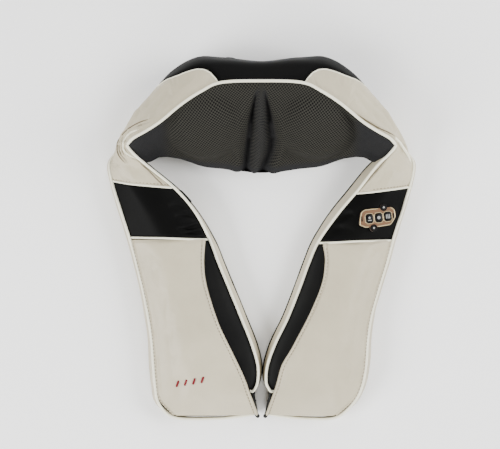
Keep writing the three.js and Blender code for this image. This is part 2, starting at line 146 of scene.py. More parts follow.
@dataclass(frozen=True)
class Leather:
    """Embossed polyurethane leather: a fine pebble grain with a soft sheen, a little uneven where it is stretched."""

    name: str
    colour: str
    shade: str
    grain_mm: float = 1.1
    roughness: float = 0.46
    bump_mm: float = 0.12
    specular: float = 0.35

    def material(self) -> bpy.types.Material:
        """Builds the leather; the pebbles are drawn slightly large so that they still show at arm's length."""
        material, tree, shader = blank(self.name)
        place = add(tree, "TexCoord").outputs["Object"]
        pebble = add(tree, "TexVoronoi", {"Scale": 1 / (self.grain_mm * MM), "Randomness": 1.0}, {"Vector": place})
        patch = add(tree, "TexNoise", {"Scale": 14.0, "Detail": 4.0, "Roughness": 0.6}, {"Vector": place})
        fine = add(tree, "TexNoise", {"Scale": 900.0, "Detail": 2.0}, {"Vector": place})
        tone = add(tree, "Mix", {"data_type": "RGBA", 6: linear(self.colour), 7: linear(self.shade)})
        spread = add(
            tree, "MapRange", {"From Min": 0.35, "From Max": 0.75, "To Max": 0.8}, {"Value": patch.outputs["Fac"]}
        )
        tree.links.new(spread.outputs["Result"], tone.inputs[0])
        tree.links.new(tone.outputs[2], shader.inputs["Base Color"])
        gloss = add(
            tree,
            "MapRange",
            {"To Min": self.roughness - 0.07, "To Max": self.roughness + 0.09},
            {"Value": fine.outputs["Fac"]},
        )
        tree.links.new(gloss.outputs["Result"], shader.inputs["Roughness"])
        bump = add(
            tree, "Bump", {"Strength": 0.5, "Distance": self.bump_mm * MM}, {"Height": pebble.outputs["Distance"]}
        )
        tree.links.new(bump.outputs["Normal"], shader.inputs["Normal"])
        shader.inputs["IOR"].default_value = 1.46
        shader.inputs["Specular IOR Level"].default_value = self.specular
        return material


@dataclass(frozen=True)
class SpacerMesh:
    """Knitted polyester spacer mesh: a slanting lattice of light threads round dark open cells, unpatterned at the
    ends, with painted shade deep in the pleat's valleys.
    """

    name: str
    thread: str
    cell: str
    plain: str
    pitch_mm: float = 4.0

    def material(self) -> bpy.types.Material:
        """Builds the lattice from the cloth's own flat lay-out, which is kept in millimetres in its UV map."""
        material, tree, shader = blank(self.name)
        flat = add(tree, "UVMap", {"uv_map": "flat"}).outputs["UV"]
        axes = add(tree, "SeparateXYZ", links={"Vector": flat})
        across, along = axes.outputs["X"], axes.outputs["Y"]
        waves = []
        for operation in ("ADD", "SUBTRACT"):
            diagonal = add(tree, "Math", {"operation": operation}, {0: across, 1: along})
            turn = add(tree, "Math", {"operation": "MULTIPLY", 1: math.pi / self.pitch_mm}, {0: diagonal.outputs[0]})
            wave = add(tree, "Math", {"operation": "SINE"}, {0: turn.outputs[0]})
            waves.append(add(tree, "Math", {"operation": "ABSOLUTE"}, {0: wave.outputs[0]}).outputs[0])
        both = add(tree, "Math", {"operation": "MULTIPLY"}, {0: waves[0], 1: waves[1]})
        hole = add(
            tree,
            "MapRange",
            {"interpolation_type": "SMOOTHSTEP", "From Min": 0.2, "From Max": 0.6},
            {"Value": both.outputs[0]},
        )
        # This mask is high at the knit's unpatterned ends and deep in the pleat's valleys; in the valleys the dark
        # heather it calls up is painted shade.
        ends = add(tree, "Attribute", {"attribute_name": "plain"})
        place = add(tree, "TexCoord").outputs["Object"]
        speck = add(tree, "TexNoise", {"Scale": 700.0, "Detail": 3.0, "Roughness": 0.8}, {"Vector": place})
        lattice = add(
            tree,
            "Mix",
            {"data_type": "RGBA", 6: linear(self.thread), 7: linear(self.cell)},
            {0: hole.outputs["Result"]},
        )
        # Dark heather: the knit's unpatterned ends, and painted shade in the pleat's valleys.
        heather_and_shade = add(
            tree,
            "Mix",
            {"data_type": "RGBA", 6: linear(self.cell), 7: linear(self.plain)},
            {0: speck.outputs["Fac"]},
        )
        cloth = add(
            tree,
            "Mix",
            {"data_type": "RGBA"},
            {0: ends.outputs["Fac"], 6: lattice.outputs[2], 7: heather_and_shade.outputs[2]},
        )
        tree.links.new(cloth.outputs[2], shader.inputs["Base Color"])
        inverse = add(tree, "Math", {"operation": "SUBTRACT", 0: 1.0}, {1: hole.outputs["Result"]})
        relief = add(
            tree,
            "Mix",
            {"data_type": "FLOAT"},
            {0: ends.outputs["Fac"], 2: inverse.outputs[0], 3: speck.outputs["Fac"]},
        )
        bump = add(tree, "Bump", {"Strength": 0.7, "Distance": 0.7 * MM}, {"Height": relief.outputs[0]})
        tree.links.new(bump.outputs["Normal"], shader.inputs["Normal"])
        shader.inputs["Roughness"].default_value = 0.85
        shader.inputs["Specular IOR Level"].default_value = 0.12
        return material


@dataclass(frozen=True)
class Woven:
    """Plain woven or corded cloth: fine threads that break up the light."""

    name: str
    colour: str
    shade: str
    thread_mm: float = 0.7
    roughness: float = 0.8

    def material(self) -> bpy.types.Material:
        """Builds the weave from two crossed bands at the thread spacing."""
        material, tree, shader = blank(self.name)
        place = add(tree, "TexCoord").outputs["Object"]
        bands = [
            add(
                tree,
                "TexWave",
                {"bands_direction": way, "Scale": 0.31 / (self.thread_mm * MM), "Distortion": 0.6, "Detail Scale": 2.0},
                {"Vector": place},
            ).outputs["Fac"]
            for way in ("X", "Y")
        ]
        cross = add(tree, "Math", {"operation": "MULTIPLY"}, {0: bands[0], 1: bands[1]})
        tone = add(
            tree,
            "Mix",
            {"data_type": "RGBA", 6: linear(self.shade), 7: linear(self.colour)},
            {0: cross.outputs[0]},
        )
        tree.links.new(tone.outputs[2], shader.inputs["Base Color"])
        bump = add(tree, "Bump", {"Strength": 0.35, "Distance": 0.2 * MM}, {"Height": cross.outputs[0]})
        tree.links.new(bump.outputs["Normal"], shader.inputs["Normal"])
        shader.inputs["Roughness"].default_value = self.roughness
        shader.inputs["Specular IOR Level"].default_value = 0.2
        return material


@dataclass(frozen=True)
class Hard:
    """A hard surface, moulded, plated, turned or sintered: near even colour with fine tool or mould marks."""

    name: str
    colour: str
    shade: str
    roughness: float = 0.4
    metallic: float = 0.0
    mark_mm: float = 0.5
    bump_mm: float = 0.03
    stretch: tuple[float, float, float] = (1.0, 1.0, 1.0)
    coat: float = 0.0
    specular: float = 0.5

    def material(self) -> bpy.types.Material:
        """Builds the surface; stretch above one along an axis draws the marks out across it."""
        material, tree, shader = blank(self.name)
        place = add(tree, "TexCoord").outputs["Object"]
        lay = add(tree, "Mapping", {"Scale": self.stretch}, {"Vector": place})
        marks = add(
            tree, "TexNoise", {"Scale": 1 / (self.mark_mm * MM), "Detail": 3.0}, {"Vector": lay.outputs["Vector"]}
        )
        wear = add(tree, "TexNoise", {"Scale": 60.0, "Detail": 3.0}, {"Vector": place})
        tone = add(
            tree,
            "Mix",
            {"data_type": "RGBA", 6: linear(self.colour), 7: linear(self.shade)},
            {0: wear.outputs["Fac"]},
        )
        tree.links.new(tone.outputs[2], shader.inputs["Base Color"])
        gloss = add(
            tree,
            "MapRange",
            {"To Min": max(0.02, self.roughness - 0.06), "To Max": self.roughness + 0.08},
            {"Value": marks.outputs["Fac"]},
        )
        tree.links.new(gloss.outputs["Result"], shader.inputs["Roughness"])
        bump = add(tree, "Bump", {"Strength": 0.3, "Distance": self.bump_mm * MM}, {"Height": marks.outputs["Fac"]})
        tree.links.new(bump.outputs["Normal"], shader.inputs["Normal"])
        shader.inputs["Metallic"].default_value = self.metallic
        shader.inputs["Coat Weight"].default_value = self.coat
        shader.inputs["Specular IOR Level"].default_value = self.specular
        return material


# Warm pale hide-like skin: fine pebbles and a broad soft sheen.
PALE_LEATHER = Leather("pale_pu_leather_embossed", "#b6ad95", "#a69d87")
# The same skin in black; its pebbles swallow light, so only a trace of sheen is left.
BLACK_LEATHER = Leather("black_pu_leather_embossed", "#070707", "#0b0b0a", roughness=0.5, specular=0.045)
# Charcoal skin inside the pockets, a shade lighter than the black and quite dull.
LINING_LEATHER = Leather("charcoal_pu_leather_embossed", "#161616", "#1d1d1c", roughness=0.5, specular=0.12)
# Cream skin rolled over cord: the brightest line on the collar, with a soft highlight along it.
PIPING = Leather("cream_leather_piping_rolled", "#e6e3ce", "#d9d5be", grain_mm=1.4, roughness=0.45)
# Open knit: light slanting threads round dark cells; drawn coarser than the real knit so that it shows. Its dark
# heather also paints shade deep in the pleat's valleys.
SPACER_MESH = SpacerMesh("spacer_mesh_knitted", "#302f2a", "#040404", "#2b2b2c")
# Twisted thread, tan and matt, in short raised stitches. The same finish makes the thin dark cords laid in the shoulder
# folds' creases as painted shade.
THREAD_AND_CREASE_SHADE = Woven("polyester_thread_twisted", "#7d725e", "#675d4c", thread_mm=0.4)
# Dull red floss, laid close enough to read as a solid bar.
RED_THREAD = Woven("rayon_thread_red_embroidered", "#8c1f2c", "#5c121b", thread_mm=0.5)
# Woven black tape with a faint rib and no shine.
WEBBING = Woven("nylon_tape_woven", "#141416", "#060607", thread_mm=0.9)
# Satin copper plating over plastic: a brown body colour with a blurred glint.
COPPER_TRIM = Hard("abs_copper_plated_satin", "#6f5037", "#5d432d", 0.4, 0.4)
# The same plating on the polished raised edges, drawn paler: a painted highlight where the edges catch pale light.
COPPER_RIM_PAINTED_HIGHLIGHT = Hard("abs_copper_plated_polished", "#b9a883", "#a3906a", 0.3, 0.5)
# Glossy black caps, nearly free of texture.
KEY_BLACK = Hard("abs_black_moulded_gloss", "#050505", "#0a0a0b", 0.35, specular=0.15)
# Black rubber, dull, that reads as a dark gap.
GASKET = Hard("rubber_black_moulded", "#060606", "#0b0b0b", 0.7, specular=0.15)
# Silver-grey ink, flat and matt.
LEGEND = Hard("ink_silver_printed", "#8f8f8c", "#7a7a77", 0.5)
# Grey moulding with a fine even grain that spreads the light.
CASE_PLASTIC = Hard("abs_grey_moulded_spark_textured", "#2b2d30", "#35373a", 0.55)
# Amber, smooth and clear-skinned, with a sharp highlight.
NODE_PLASTIC = Hard("abs_amber_moulded_polished", "#b5552f", "#a34a28", 0.25, coat=0.5)
# Bright turned steel: fine rings that stretch the highlight.
STEEL = Hard("steel_turned", "#b4b6b8", "#9a9c9f", 0.3, 1.0, stretch=(0.1, 1.0, 1.0))
# Off-white and waxy, softly shining.
NYLON = Hard("nylon_moulded", "#e6e0cd", "#d8d1bb", 0.45)
# Golden brown and finely pitted, with a blurred shine.
BRONZE = Hard("bronze_sintered", "#a97b43", "#946a38", 0.45, 1.0)
# Green mask over glass cloth, smooth and slightly glossy.
BOARD = Hard("circuit_board_glass_epoxy_masked", "#1e5a35", "#18492b", 0.35, coat=0.3)
# Deep red lens with a hard clear gloss.
LAMP = Hard("lamp_lens_red_moulded", "#c4342a", "#b02a22", 0.15, coat=0.8)

# ---------------------------------------------------------------- shapes

Points = np.ndarray


def spline(points: Points, places: Points) -> Points:
    """A smooth curve through rows of points.

    Args:
        points: the rows to pass through, first axis along the curve.
        places: fractional row numbers, ends included.

    Returns:
        The curve at each place.
    """
    points = np.asarray(points, float)
    last = len(points) - 1
    k = np.clip(np.floor(places).astype(int), 0, last - 1)
    f = (np.asarray(places) - k).reshape((-1,) + (1,) * (points.ndim - 1))
    a, b, c, d = (points[np.clip(k + step, 0, last)] for step in (-1, 0, 1, 2))
    a = np.where((k == 0).reshape(f.shape), 2 * b - c, a)
    d = np.where((k == last - 1).reshape(f.shape), 2 * c - b, d)
    return 0.5 * (2 * b + (c - a) * f + (2 * a - 5 * b + 4 * c - d) * f**2 + (3 * b - a - 3 * c + d) * f**3)


def table(rows: Sequence[tuple[float, float]], places: Points | float) -> Points:
    """Straight-line values of a (place, value) table at the given places."""
    return np.interp(places, [r[0] for r in rows], [r[1] for r in rows])


def ramp(values: Points) -> Points:
    """Smooth step from 0 to 1, flat at both ends."""
    c = np.clip(values, 0, 1)
    return c * c * (3 - 2 * c)


def surface(net: Points, rows: Points, shares: Points) -> Points:
    """Evaluates a control net as a smooth surface.

    Args:
        net: control points, rows by columns by 3.
        rows: fractional row numbers.
        shares: for each row, shares from 0 to 1 across the columns; one list for all, or one per row.

    Returns:
        A grid of points, rows by shares by 3.
    """
    lines = spline(net, rows)
    shares = np.broadcast_to(shares, (len(rows), np.shape(shares)[-1]))
    return np.array([spline(line, share * (net.shape[1] - 1)) for line, share in zip(lines, shares)])


def normals(grid: Points) -> Points:
    """Unit normals of a grid, from the steps along its rows and columns.

    Args:
        grid: points, rows by columns by 3.

    Returns:
        One unit normal for each point.
    """
    n = np.cross(np.gradient(grid, axis=0), np.gradient(grid, axis=1))
    length = np.linalg.norm(n, axis=2, keepdims=True)
    return n / np.maximum(length, 1e-9)


def lumps(grid: Points, size: float, seed: float) -> Points:
    """Smooth unevenness of stuffed cloth.

    Args:
        grid: the surface.
        size: how far apart the lumps stand, in millimetres.
        seed: picks another pattern.

    Returns:
        One value for each point, about -1 to 1.
    """
    flat = grid.reshape(-1, 3) / size
    values = [noise.noise(Vector((p[0] + seed, p[1] - seed, p[2]))) for p in flat]
    return np.array(values).reshape(grid.shape[:2])


def unit(vectors: Points) -> Points:
    """Rows of vectors, each scaled to length one."""
    return vectors / np.linalg.norm(vectors, axis=-1, keepdims=True)


def evened(values: Points, width: int = 7) -> Points:
    """A row of values, each averaged with its neighbours."""
    return np.convolve(np.pad(values, width // 2, "edge"), np.ones(width) / width, "valid")


def softened(values: Points, width: int = 5) -> Points:
    """Values over a grid, averaged with their neighbours both ways.

    Args:
        values: rows by columns.
        width: how many neighbours are averaged, an odd number.

    Returns:
        The softened values.
    """
    for axis in (0, 1):
        values = np.apply_along_axis(evened, axis, values, width)
    return values


def grid_faces(rows: int, columns: int) -> tuple[Points, Points]:
    """Numbers a grid's points row by row and lists its square faces.

    Args:
        rows: grid rows.
        columns: grid columns.

    Returns:
        The points' numbers as a grid, and four of them for each face.
    """
    number = np.arange(rows * columns).reshape(rows, columns)
    corners = number[:-1, :-1], number[1:, :-1], number[1:, 1:], number[:-1, 1:]
    return number, np.stack(corners, -1).reshape(-1, 4)


def ring_faces(rings: int, count: int) -> list[tuple[int, ...]]:
    """Lists the faces of a closed stack of rings.

    Args:
        rings: how many rings.
        count: points in each ring.

    Returns:
        The side faces, then the first and the last ring's cap.
    """
    faces = [
        (i * count + j, i * count + (j + 1) % count, (i + 1) * count + (j + 1) % count, (i + 1) * count + j)
        for i in range(rings - 1)
        for j in range(count)
    ]
    return [*faces, tuple(range(count))[::-1], tuple(range((rings - 1) * count, rings * count))]


def lifted(pose: Matrix, outline: Points, height: float) -> Points:
    """A flat outline at a height in a piece's own frame, moved to where that frame lies."""
    return np.array([tuple(pose @ Vector((x, y, height))) for x, y in outline])


def walked_to(values: Points, walked: Points, place: float) -> Points:
    """Rows of x, y and z, read at a distance walked along a line."""
    return np.array([np.interp(place, walked, values[:, k]) for k in range(3)])


@dataclass(frozen=True)
class Crease:
    """A fold line pressed into leather, seen from above.

    Attributes:
        line: its (x, y) places in millimetres.
        depth: how deep it is pressed.
        width: half width of the groove.
    """

    line: tuple[tuple[float, float], ...]
    depth: float = 1.5
    width: float = 2.5

    def move(self, grid: Points) -> Points:
        """Height change over a grid.

        Args:
            grid: the surface, as seen from above.

        Returns:
            The change at each point: a groove with a soft ridge on each side, fading out at its ends.
        """
        ends = np.array(self.line, float)
        line = spline(ends, np.linspace(0, len(ends) - 1, 60))
        fade = np.sin(np.linspace(0.0, math.pi, 60)) ** 0.4
        gap = grid[..., None, :2] - line
        far = np.linalg.norm(gap, axis=-1)
        near = far.argmin(-1)
        d = far.min(-1) / self.width
        shape = -np.exp(-(d**2)) + 0.5 * np.exp(-((d - 2.0) ** 2))
        return self.depth * shape * fade[near]


def creased(grid: Points, lift: Points, creases: tuple[Crease, ...] = ()) -> Points:
    """Moves a grid along its normals.

    Args:
        grid: the surface, with normals that face out.
        lift: how far to move each point.
        creases: fold lines to add.

    Returns:
        The moved grid.
    """
    total = lift + sum((c.move(grid) for c in creases), np.zeros(grid.shape[:2]))
    return grid + normals(grid) * total[..., None]


def drape(grid: Points, line: tuple, count: int = 120) -> tuple[Points, Points]:
    """Lays a line, given as seen from above, on a surface.

    Args:
        grid: the surface, normals facing out.
        line: (x, y) places in millimetres.
        count: how many points to lay.

    Returns:
        The points on the surface and the outward normals there.
    """
    places = spline(np.array(line, float), np.linspace(0, len(line) - 1, count))
    flat, out = grid.reshape(-1, 3), normals(grid).reshape(-1, 3)
    top = out[:, 2] > 0.1
    flat, out = flat[top], out[top]
    far = np.linalg.norm(flat[None, :, :2] - places[:, None], axis=2)
    near = np.argsort(far, axis=1)[:, :6]
    weight = 1 / (np.take_along_axis(far, near, 1) + 0.3)
    weight = (weight / weight.sum(1, keepdims=True))[..., None]
    height, facing = (flat[near] * weight).sum(1)[:, 2], (out[near] * weight).sum(1)
    facing = np.stack([evened(facing[:, k]) for k in range(3)], -1)
    return np.column_stack([places, evened(height)]), unit(facing)


def edge_fall(rows: int, columns: int, sides: str, depth: float, reach: float) -> Points:
    """Lets a panel dip where it is sewn.

    Args:
        rows: grid rows.
        columns: grid columns.
        sides: any of r, R, c, C for the first and last row and column.
        depth: how far the edge dips.
        reach: the dip's width, in grid steps.

    Returns:
        The height change, zero away from the edges and -depth on them.
    """
    i, j = np.meshgrid(np.arange(rows), np.arange(columns), indexing="ij")
    away = {"r": i, "R": rows - 1 - i, "c": j, "C": columns - 1 - j}
    nearest = np.min([away[s] for s in sides], axis=0)
    return -depth * np.exp(-((nearest / reach) ** 2))


def mirrored(points: Points, side: Side) -> Points:
    """Points on the right arm's side, or their mirror image for the left arm."""
    return points * np.array([side.value, 1.0, 1.0])


def mesh_piece(
    name: str, points: Points, faces: list, finish: bpy.types.Material, sharp: float = 50.0
) -> bpy.types.Object:
    """Makes a mesh object from millimetre points.

    Args:
        name: the piece's name.
        points: its vertices in millimetres.
        faces: vertex numbers of each face.
        finish: its material.
        sharp: edges bent more than this many degrees are drawn sharp.

    Returns:
        The new object.
    """
    mesh = bpy.data.meshes.new(name)
    mesh.from_pydata((np.asarray(points) * MM).tolist(), [], [list(map(int, f)) for f in faces])
    mesh.validate()
    mesh.update()
    mesh.shade_smooth()
    mesh.set_sharp_from_angle(angle=math.radians(sharp))
    mesh.materials.append(finish)
    piece = bpy.data.objects.new(name, mesh)
    bpy.context.scene.collection.objects.link(piece)
    return piece


def sheet_piece(
    name: str,
    grid: Points,
    thick: float,
    finish: bpy.types.Material,
    side: Side = Side.RIGHT,
    flat: Points | None = None,
    plain: Points | None = None,
) -> bpy.types.Object:
    """Makes a closed sheet of some thickness from a grid whose normals face out.

    Args:
        name: the piece's name.
        grid: its outer surface.
        thick: thickness in millimetres, added inward.
        finish: its material.
        side: the left side gets the mirror image.
        flat: the cloth's flat lay-out, rows by columns by 2, for its UV map.
        plain: for each point, from 0 to 1, how far the cloth is drawn in its dark unpatterned heather: at its
            unpatterned ends, and as painted shade where it lies in a valley.

    Returns:
        The new object.
    """
    inner = grid - normals(grid) * thick
    rows, columns = grid.shape[:2]
    count = rows * columns
    number, outer = grid_faces(rows, columns)
    faces = [*outer, *(outer[:, ::-1] + count)]
    rim = np.concatenate([number[0, :], number[1:, -1], number[-1, -2::-1], number[-2:0:-1, 0]])
    after = np.roll(rim, -1)
    faces += [(p, q, q + count, p + count) for p, q in zip(rim, after)]
    points = mirrored(np.concatenate([grid.reshape(-1, 3), inner.reshape(-1, 3)]), side)
    if side is Side.LEFT:
        faces = [f[::-1] for f in faces]
    piece = mesh_piece(name, points, faces, finish)
    if flat is not None:
        layer = piece.data.uv_layers.new(name="flat")
        both = np.concatenate([flat.reshape(-1, 2), flat.reshape(-1, 2)])
        corners = np.array([loop.vertex_index for loop in piece.data.loops])
        layer.data.foreach_set("uv", both[corners].astype(np.float32).ravel())
    if plain is not None:
        values = np.concatenate([plain.ravel(), plain.ravel()]).astype(np.float32)
        piece.data.attributes.new("plain", "FLOAT", "POINT").data.foreach_set("value", values)
    return piece


def cloth_pass(grid: Points, free: str, pressure: float, slack: float, cap: float, frames: int = 14) -> Points:
    """Lets a sewn panel puff up as cloth, held along its seams.

    Args:
        grid: the panel in millimetres, normals facing out.
        free: the edges that are not held, any of r, R, c, C.
        pressure: how hard the filling pushes.
        slack: how much longer the cloth is cut than the gap it spans, as a share.
        cap: how far any point may move, in millimetres.
        frames: steps of the simulation.
    """
    rows, columns = grid.shape[:2]
    number, faces = grid_faces(rows, columns)
    mesh = bpy.data.meshes.new("cloth_pass")
    mesh.from_pydata((grid.reshape(-1, 3) * MM).tolist(), [], faces.tolist())
    mesh.update()
    cloth = bpy.data.objects.new("cloth_pass", mesh)
    bpy.context.scene.collection.objects.link(cloth)
    held = {"r": number[:2], "R": number[-2:], "c": number[:, :2], "C": number[:, -2:]}
    group = cloth.vertex_groups.new(name="held")
    for edge, points in held.items():
        if edge not in free:
            group.add([int(k) for k in points.ravel()], 1.0, "REPLACE")
    modifier = cloth.modifiers.new("cloth", "CLOTH")
    settings = modifier.settings
    settings.quality = 4
    settings.mass = 0.3
    settings.tension_stiffness = settings.compression_stiffness = 12
    settings.shear_stiffness = 6
    settings.bending_stiffness = 1.2
    settings.air_damping = 3
    settings.use_pressure = True
    settings.uniform_pressure_force = pressure
    settings.shrink_min = -slack
    settings.vertex_group_mass = "held"
    settings.effector_weights.gravity = 0
    modifier.collision_settings.use_collision = False
    for frame_number in range(1, frames + 1):
        bpy.context.scene.frame_set(frame_number)
    settled = np.empty(rows * columns * 3, np.float32)
    result = cloth.evaluated_get(bpy.context.evaluated_depsgraph_get())
    result.data.vertices.foreach_get("co", settled)
    bpy.data.objects.remove(cloth)
    bpy.data.meshes.remove(mesh)
    bpy.context.scene.frame_set(1)
    move = settled.reshape(grid.shape) / MM - grid
    far = np.linalg.norm(move, axis=2, keepdims=True)
    return grid + move * np.minimum(1, cap / np.maximum(far, 1e-6))


def tube_piece(
    name: str, line: Points, radius: float, finish: bpy.types.Material, sides: int = 12, taper: int = 2
) -> bpy.types.Object:
    """Makes a round cord along a line, closed and rounded at both ends.

    Args:
        name: the piece's name.
        line: points along its middle.
        radius: its radius.
        finish: its material.
        sides: facets round it.
        taper: how many end rings shrink.

    Returns:
        The new object.
    """
    ahead = unit(np.gradient(line, axis=0))
    up = np.array([0.0, 0.0, 1.0])
    across = np.cross(ahead, up)
    across /= np.maximum(np.linalg.norm(across, axis=1, keepdims=True), 1e-6)
    over = np.cross(across, ahead)
    size = np.full(len(line), radius)
    for k in range(taper):
        share = math.sin(math.pi / 2 * (k + 0.35) / taper)
        size[k] = min(size[k], radius * share)
        size[-1 - k] = min(size[-1 - k], radius * share)
    turn = np.linspace(0, 2 * math.pi, sides, endpoint=False)
    rings = (
        line[:, None]
        + (across[:, None] * np.cos(turn)[:, None] + over[:, None] * np.sin(turn)[:, None]) * size[:, None, None]
    )
    return mesh_piece(name, rings.reshape(-1, 3), ring_faces(len(line), sides), finish)


def stitch_piece(
    name: str, line: Points, up: Points, finish: bpy.types.Material, length: float = 3.0, gap: float = 1.6
) -> bpy.types.Object:
    """Makes a row of raised stitches.

    Args:
        name: the piece's name.
        line: points along the seam, on the leather.
        up: the leather's outward normal at each point.
        finish: thread material.
        length: length of one stitch.
        gap: space between stitches.

    Returns:
        The new object.
    """
    steps = np.linalg.norm(np.diff(line, axis=0), axis=1)
    walked = np.concatenate([[0], np.cumsum(steps)])
    half_width, crown, belly = 0.42, 0.28, 0.5
    # Each section's share along the stitch, height over the leather and fullness: the ends dive into it.
    sections = ((0, -0.3, 0.4), (0.25, 0.42, 1), (0.75, 0.42, 1), (1, -0.3, 0.4))
    points, faces = [], []
    for start in np.arange(gap, walked[-1] - length, length + gap):
        a, b = walked_to(line, walked, start), walked_to(line, walked, start + length)
        n = walked_to(up, walked, start + length / 2)
        n /= np.linalg.norm(n)
        along = (b - a) / np.linalg.norm(b - a)
        wide = np.cross(n, along) * half_width
        base = len(points)
        for share, rise, swell in sections:
            middle = a + (b - a) * share + n * rise
            points += [middle - wide * swell, middle + n * crown * swell, middle + wide * swell, middle - n * belly]
        for k in range(3):
            for j in range(4):
                p, q = base + 4 * k + j, base + 4 * k + (j + 1) % 4
                faces.append((p, q, q + 4, p + 4))
        faces += [(base + 3, base + 2, base + 1, base), (base + 12, base + 13, base + 14, base + 15)]
    return mesh_piece(name, np.array(points), faces, finish)


def prism_piece(
    name: str, outline: Points, low: float, high: float, bevel: float, finish: bpy.types.Material, pose: Matrix
) -> bpy.types.Object:
    """Makes an upright block of any outline with a rounded top edge.

    Args:
        name: the piece's name.
        outline: its corners, anticlockwise, in millimetres.
        low: height of its foot.
        high: height of its top.
        bevel: radius of the top edge.
        finish: its material.
        pose: where its own frame lies, in millimetres.

    Returns:
        The new object.
    """
    before, after = np.roll(outline, 1, 0), np.roll(outline, -1, 0)
    bisect = unit(outline - before) + unit(after - outline)
    inward = unit(np.stack([-bisect[:, 1], bisect[:, 0]], -1))
    rings = [(0.0, low)] + [
        (bevel * (1 - math.cos(turn)), high - bevel * (1 - math.sin(turn))) for turn in np.linspace(0, math.pi / 2, 5)
    ]
    points = [[*(corner + shift * inset), height] for inset, height in rings for corner, shift in zip(outline, inward)]
    placed = [tuple(pose @ Vector(point)) for point in points]
    return mesh_piece(name, np.array(placed), ring_faces(len(rings), len(outline)), finish, 40.0)


def octagon(width: float, height: float, chamfer: float, centre: tuple[float, float] = (0.0, 0.0)) -> Points:
    """A rectangle with cut corners, anticlockwise.

    Args:
        width: its size across.
        height: its size up and down.
        chamfer: how much of each corner is cut.
        centre: its middle.

    Returns:
        Eight corners.
    """
    x, y, c = width / 2, height / 2, chamfer
    corners = [(x, -y + c), (x, y - c), (x - c, y), (-x + c, y), (-x, y - c), (-x, -y + c), (-x + c, -y), (x - c, -y)]
    return np.array(corners) + np.array(centre)


def circle(radius: float, centre: tuple[float, float], count: int = 20) -> Points:
    """Points round a circle, anticlockwise.

    Args:
        radius: its radius.
        centre: its middle.
        count: how many points.

    Returns:
        The points.
    """
    turn = np.linspace(0, 2 * math.pi, count, endpoint=False)
    return np.stack([np.cos(turn), np.sin(turn)], -1) * radius + np.array(centre)


# ---------------------------------------------------------------- the collar's form


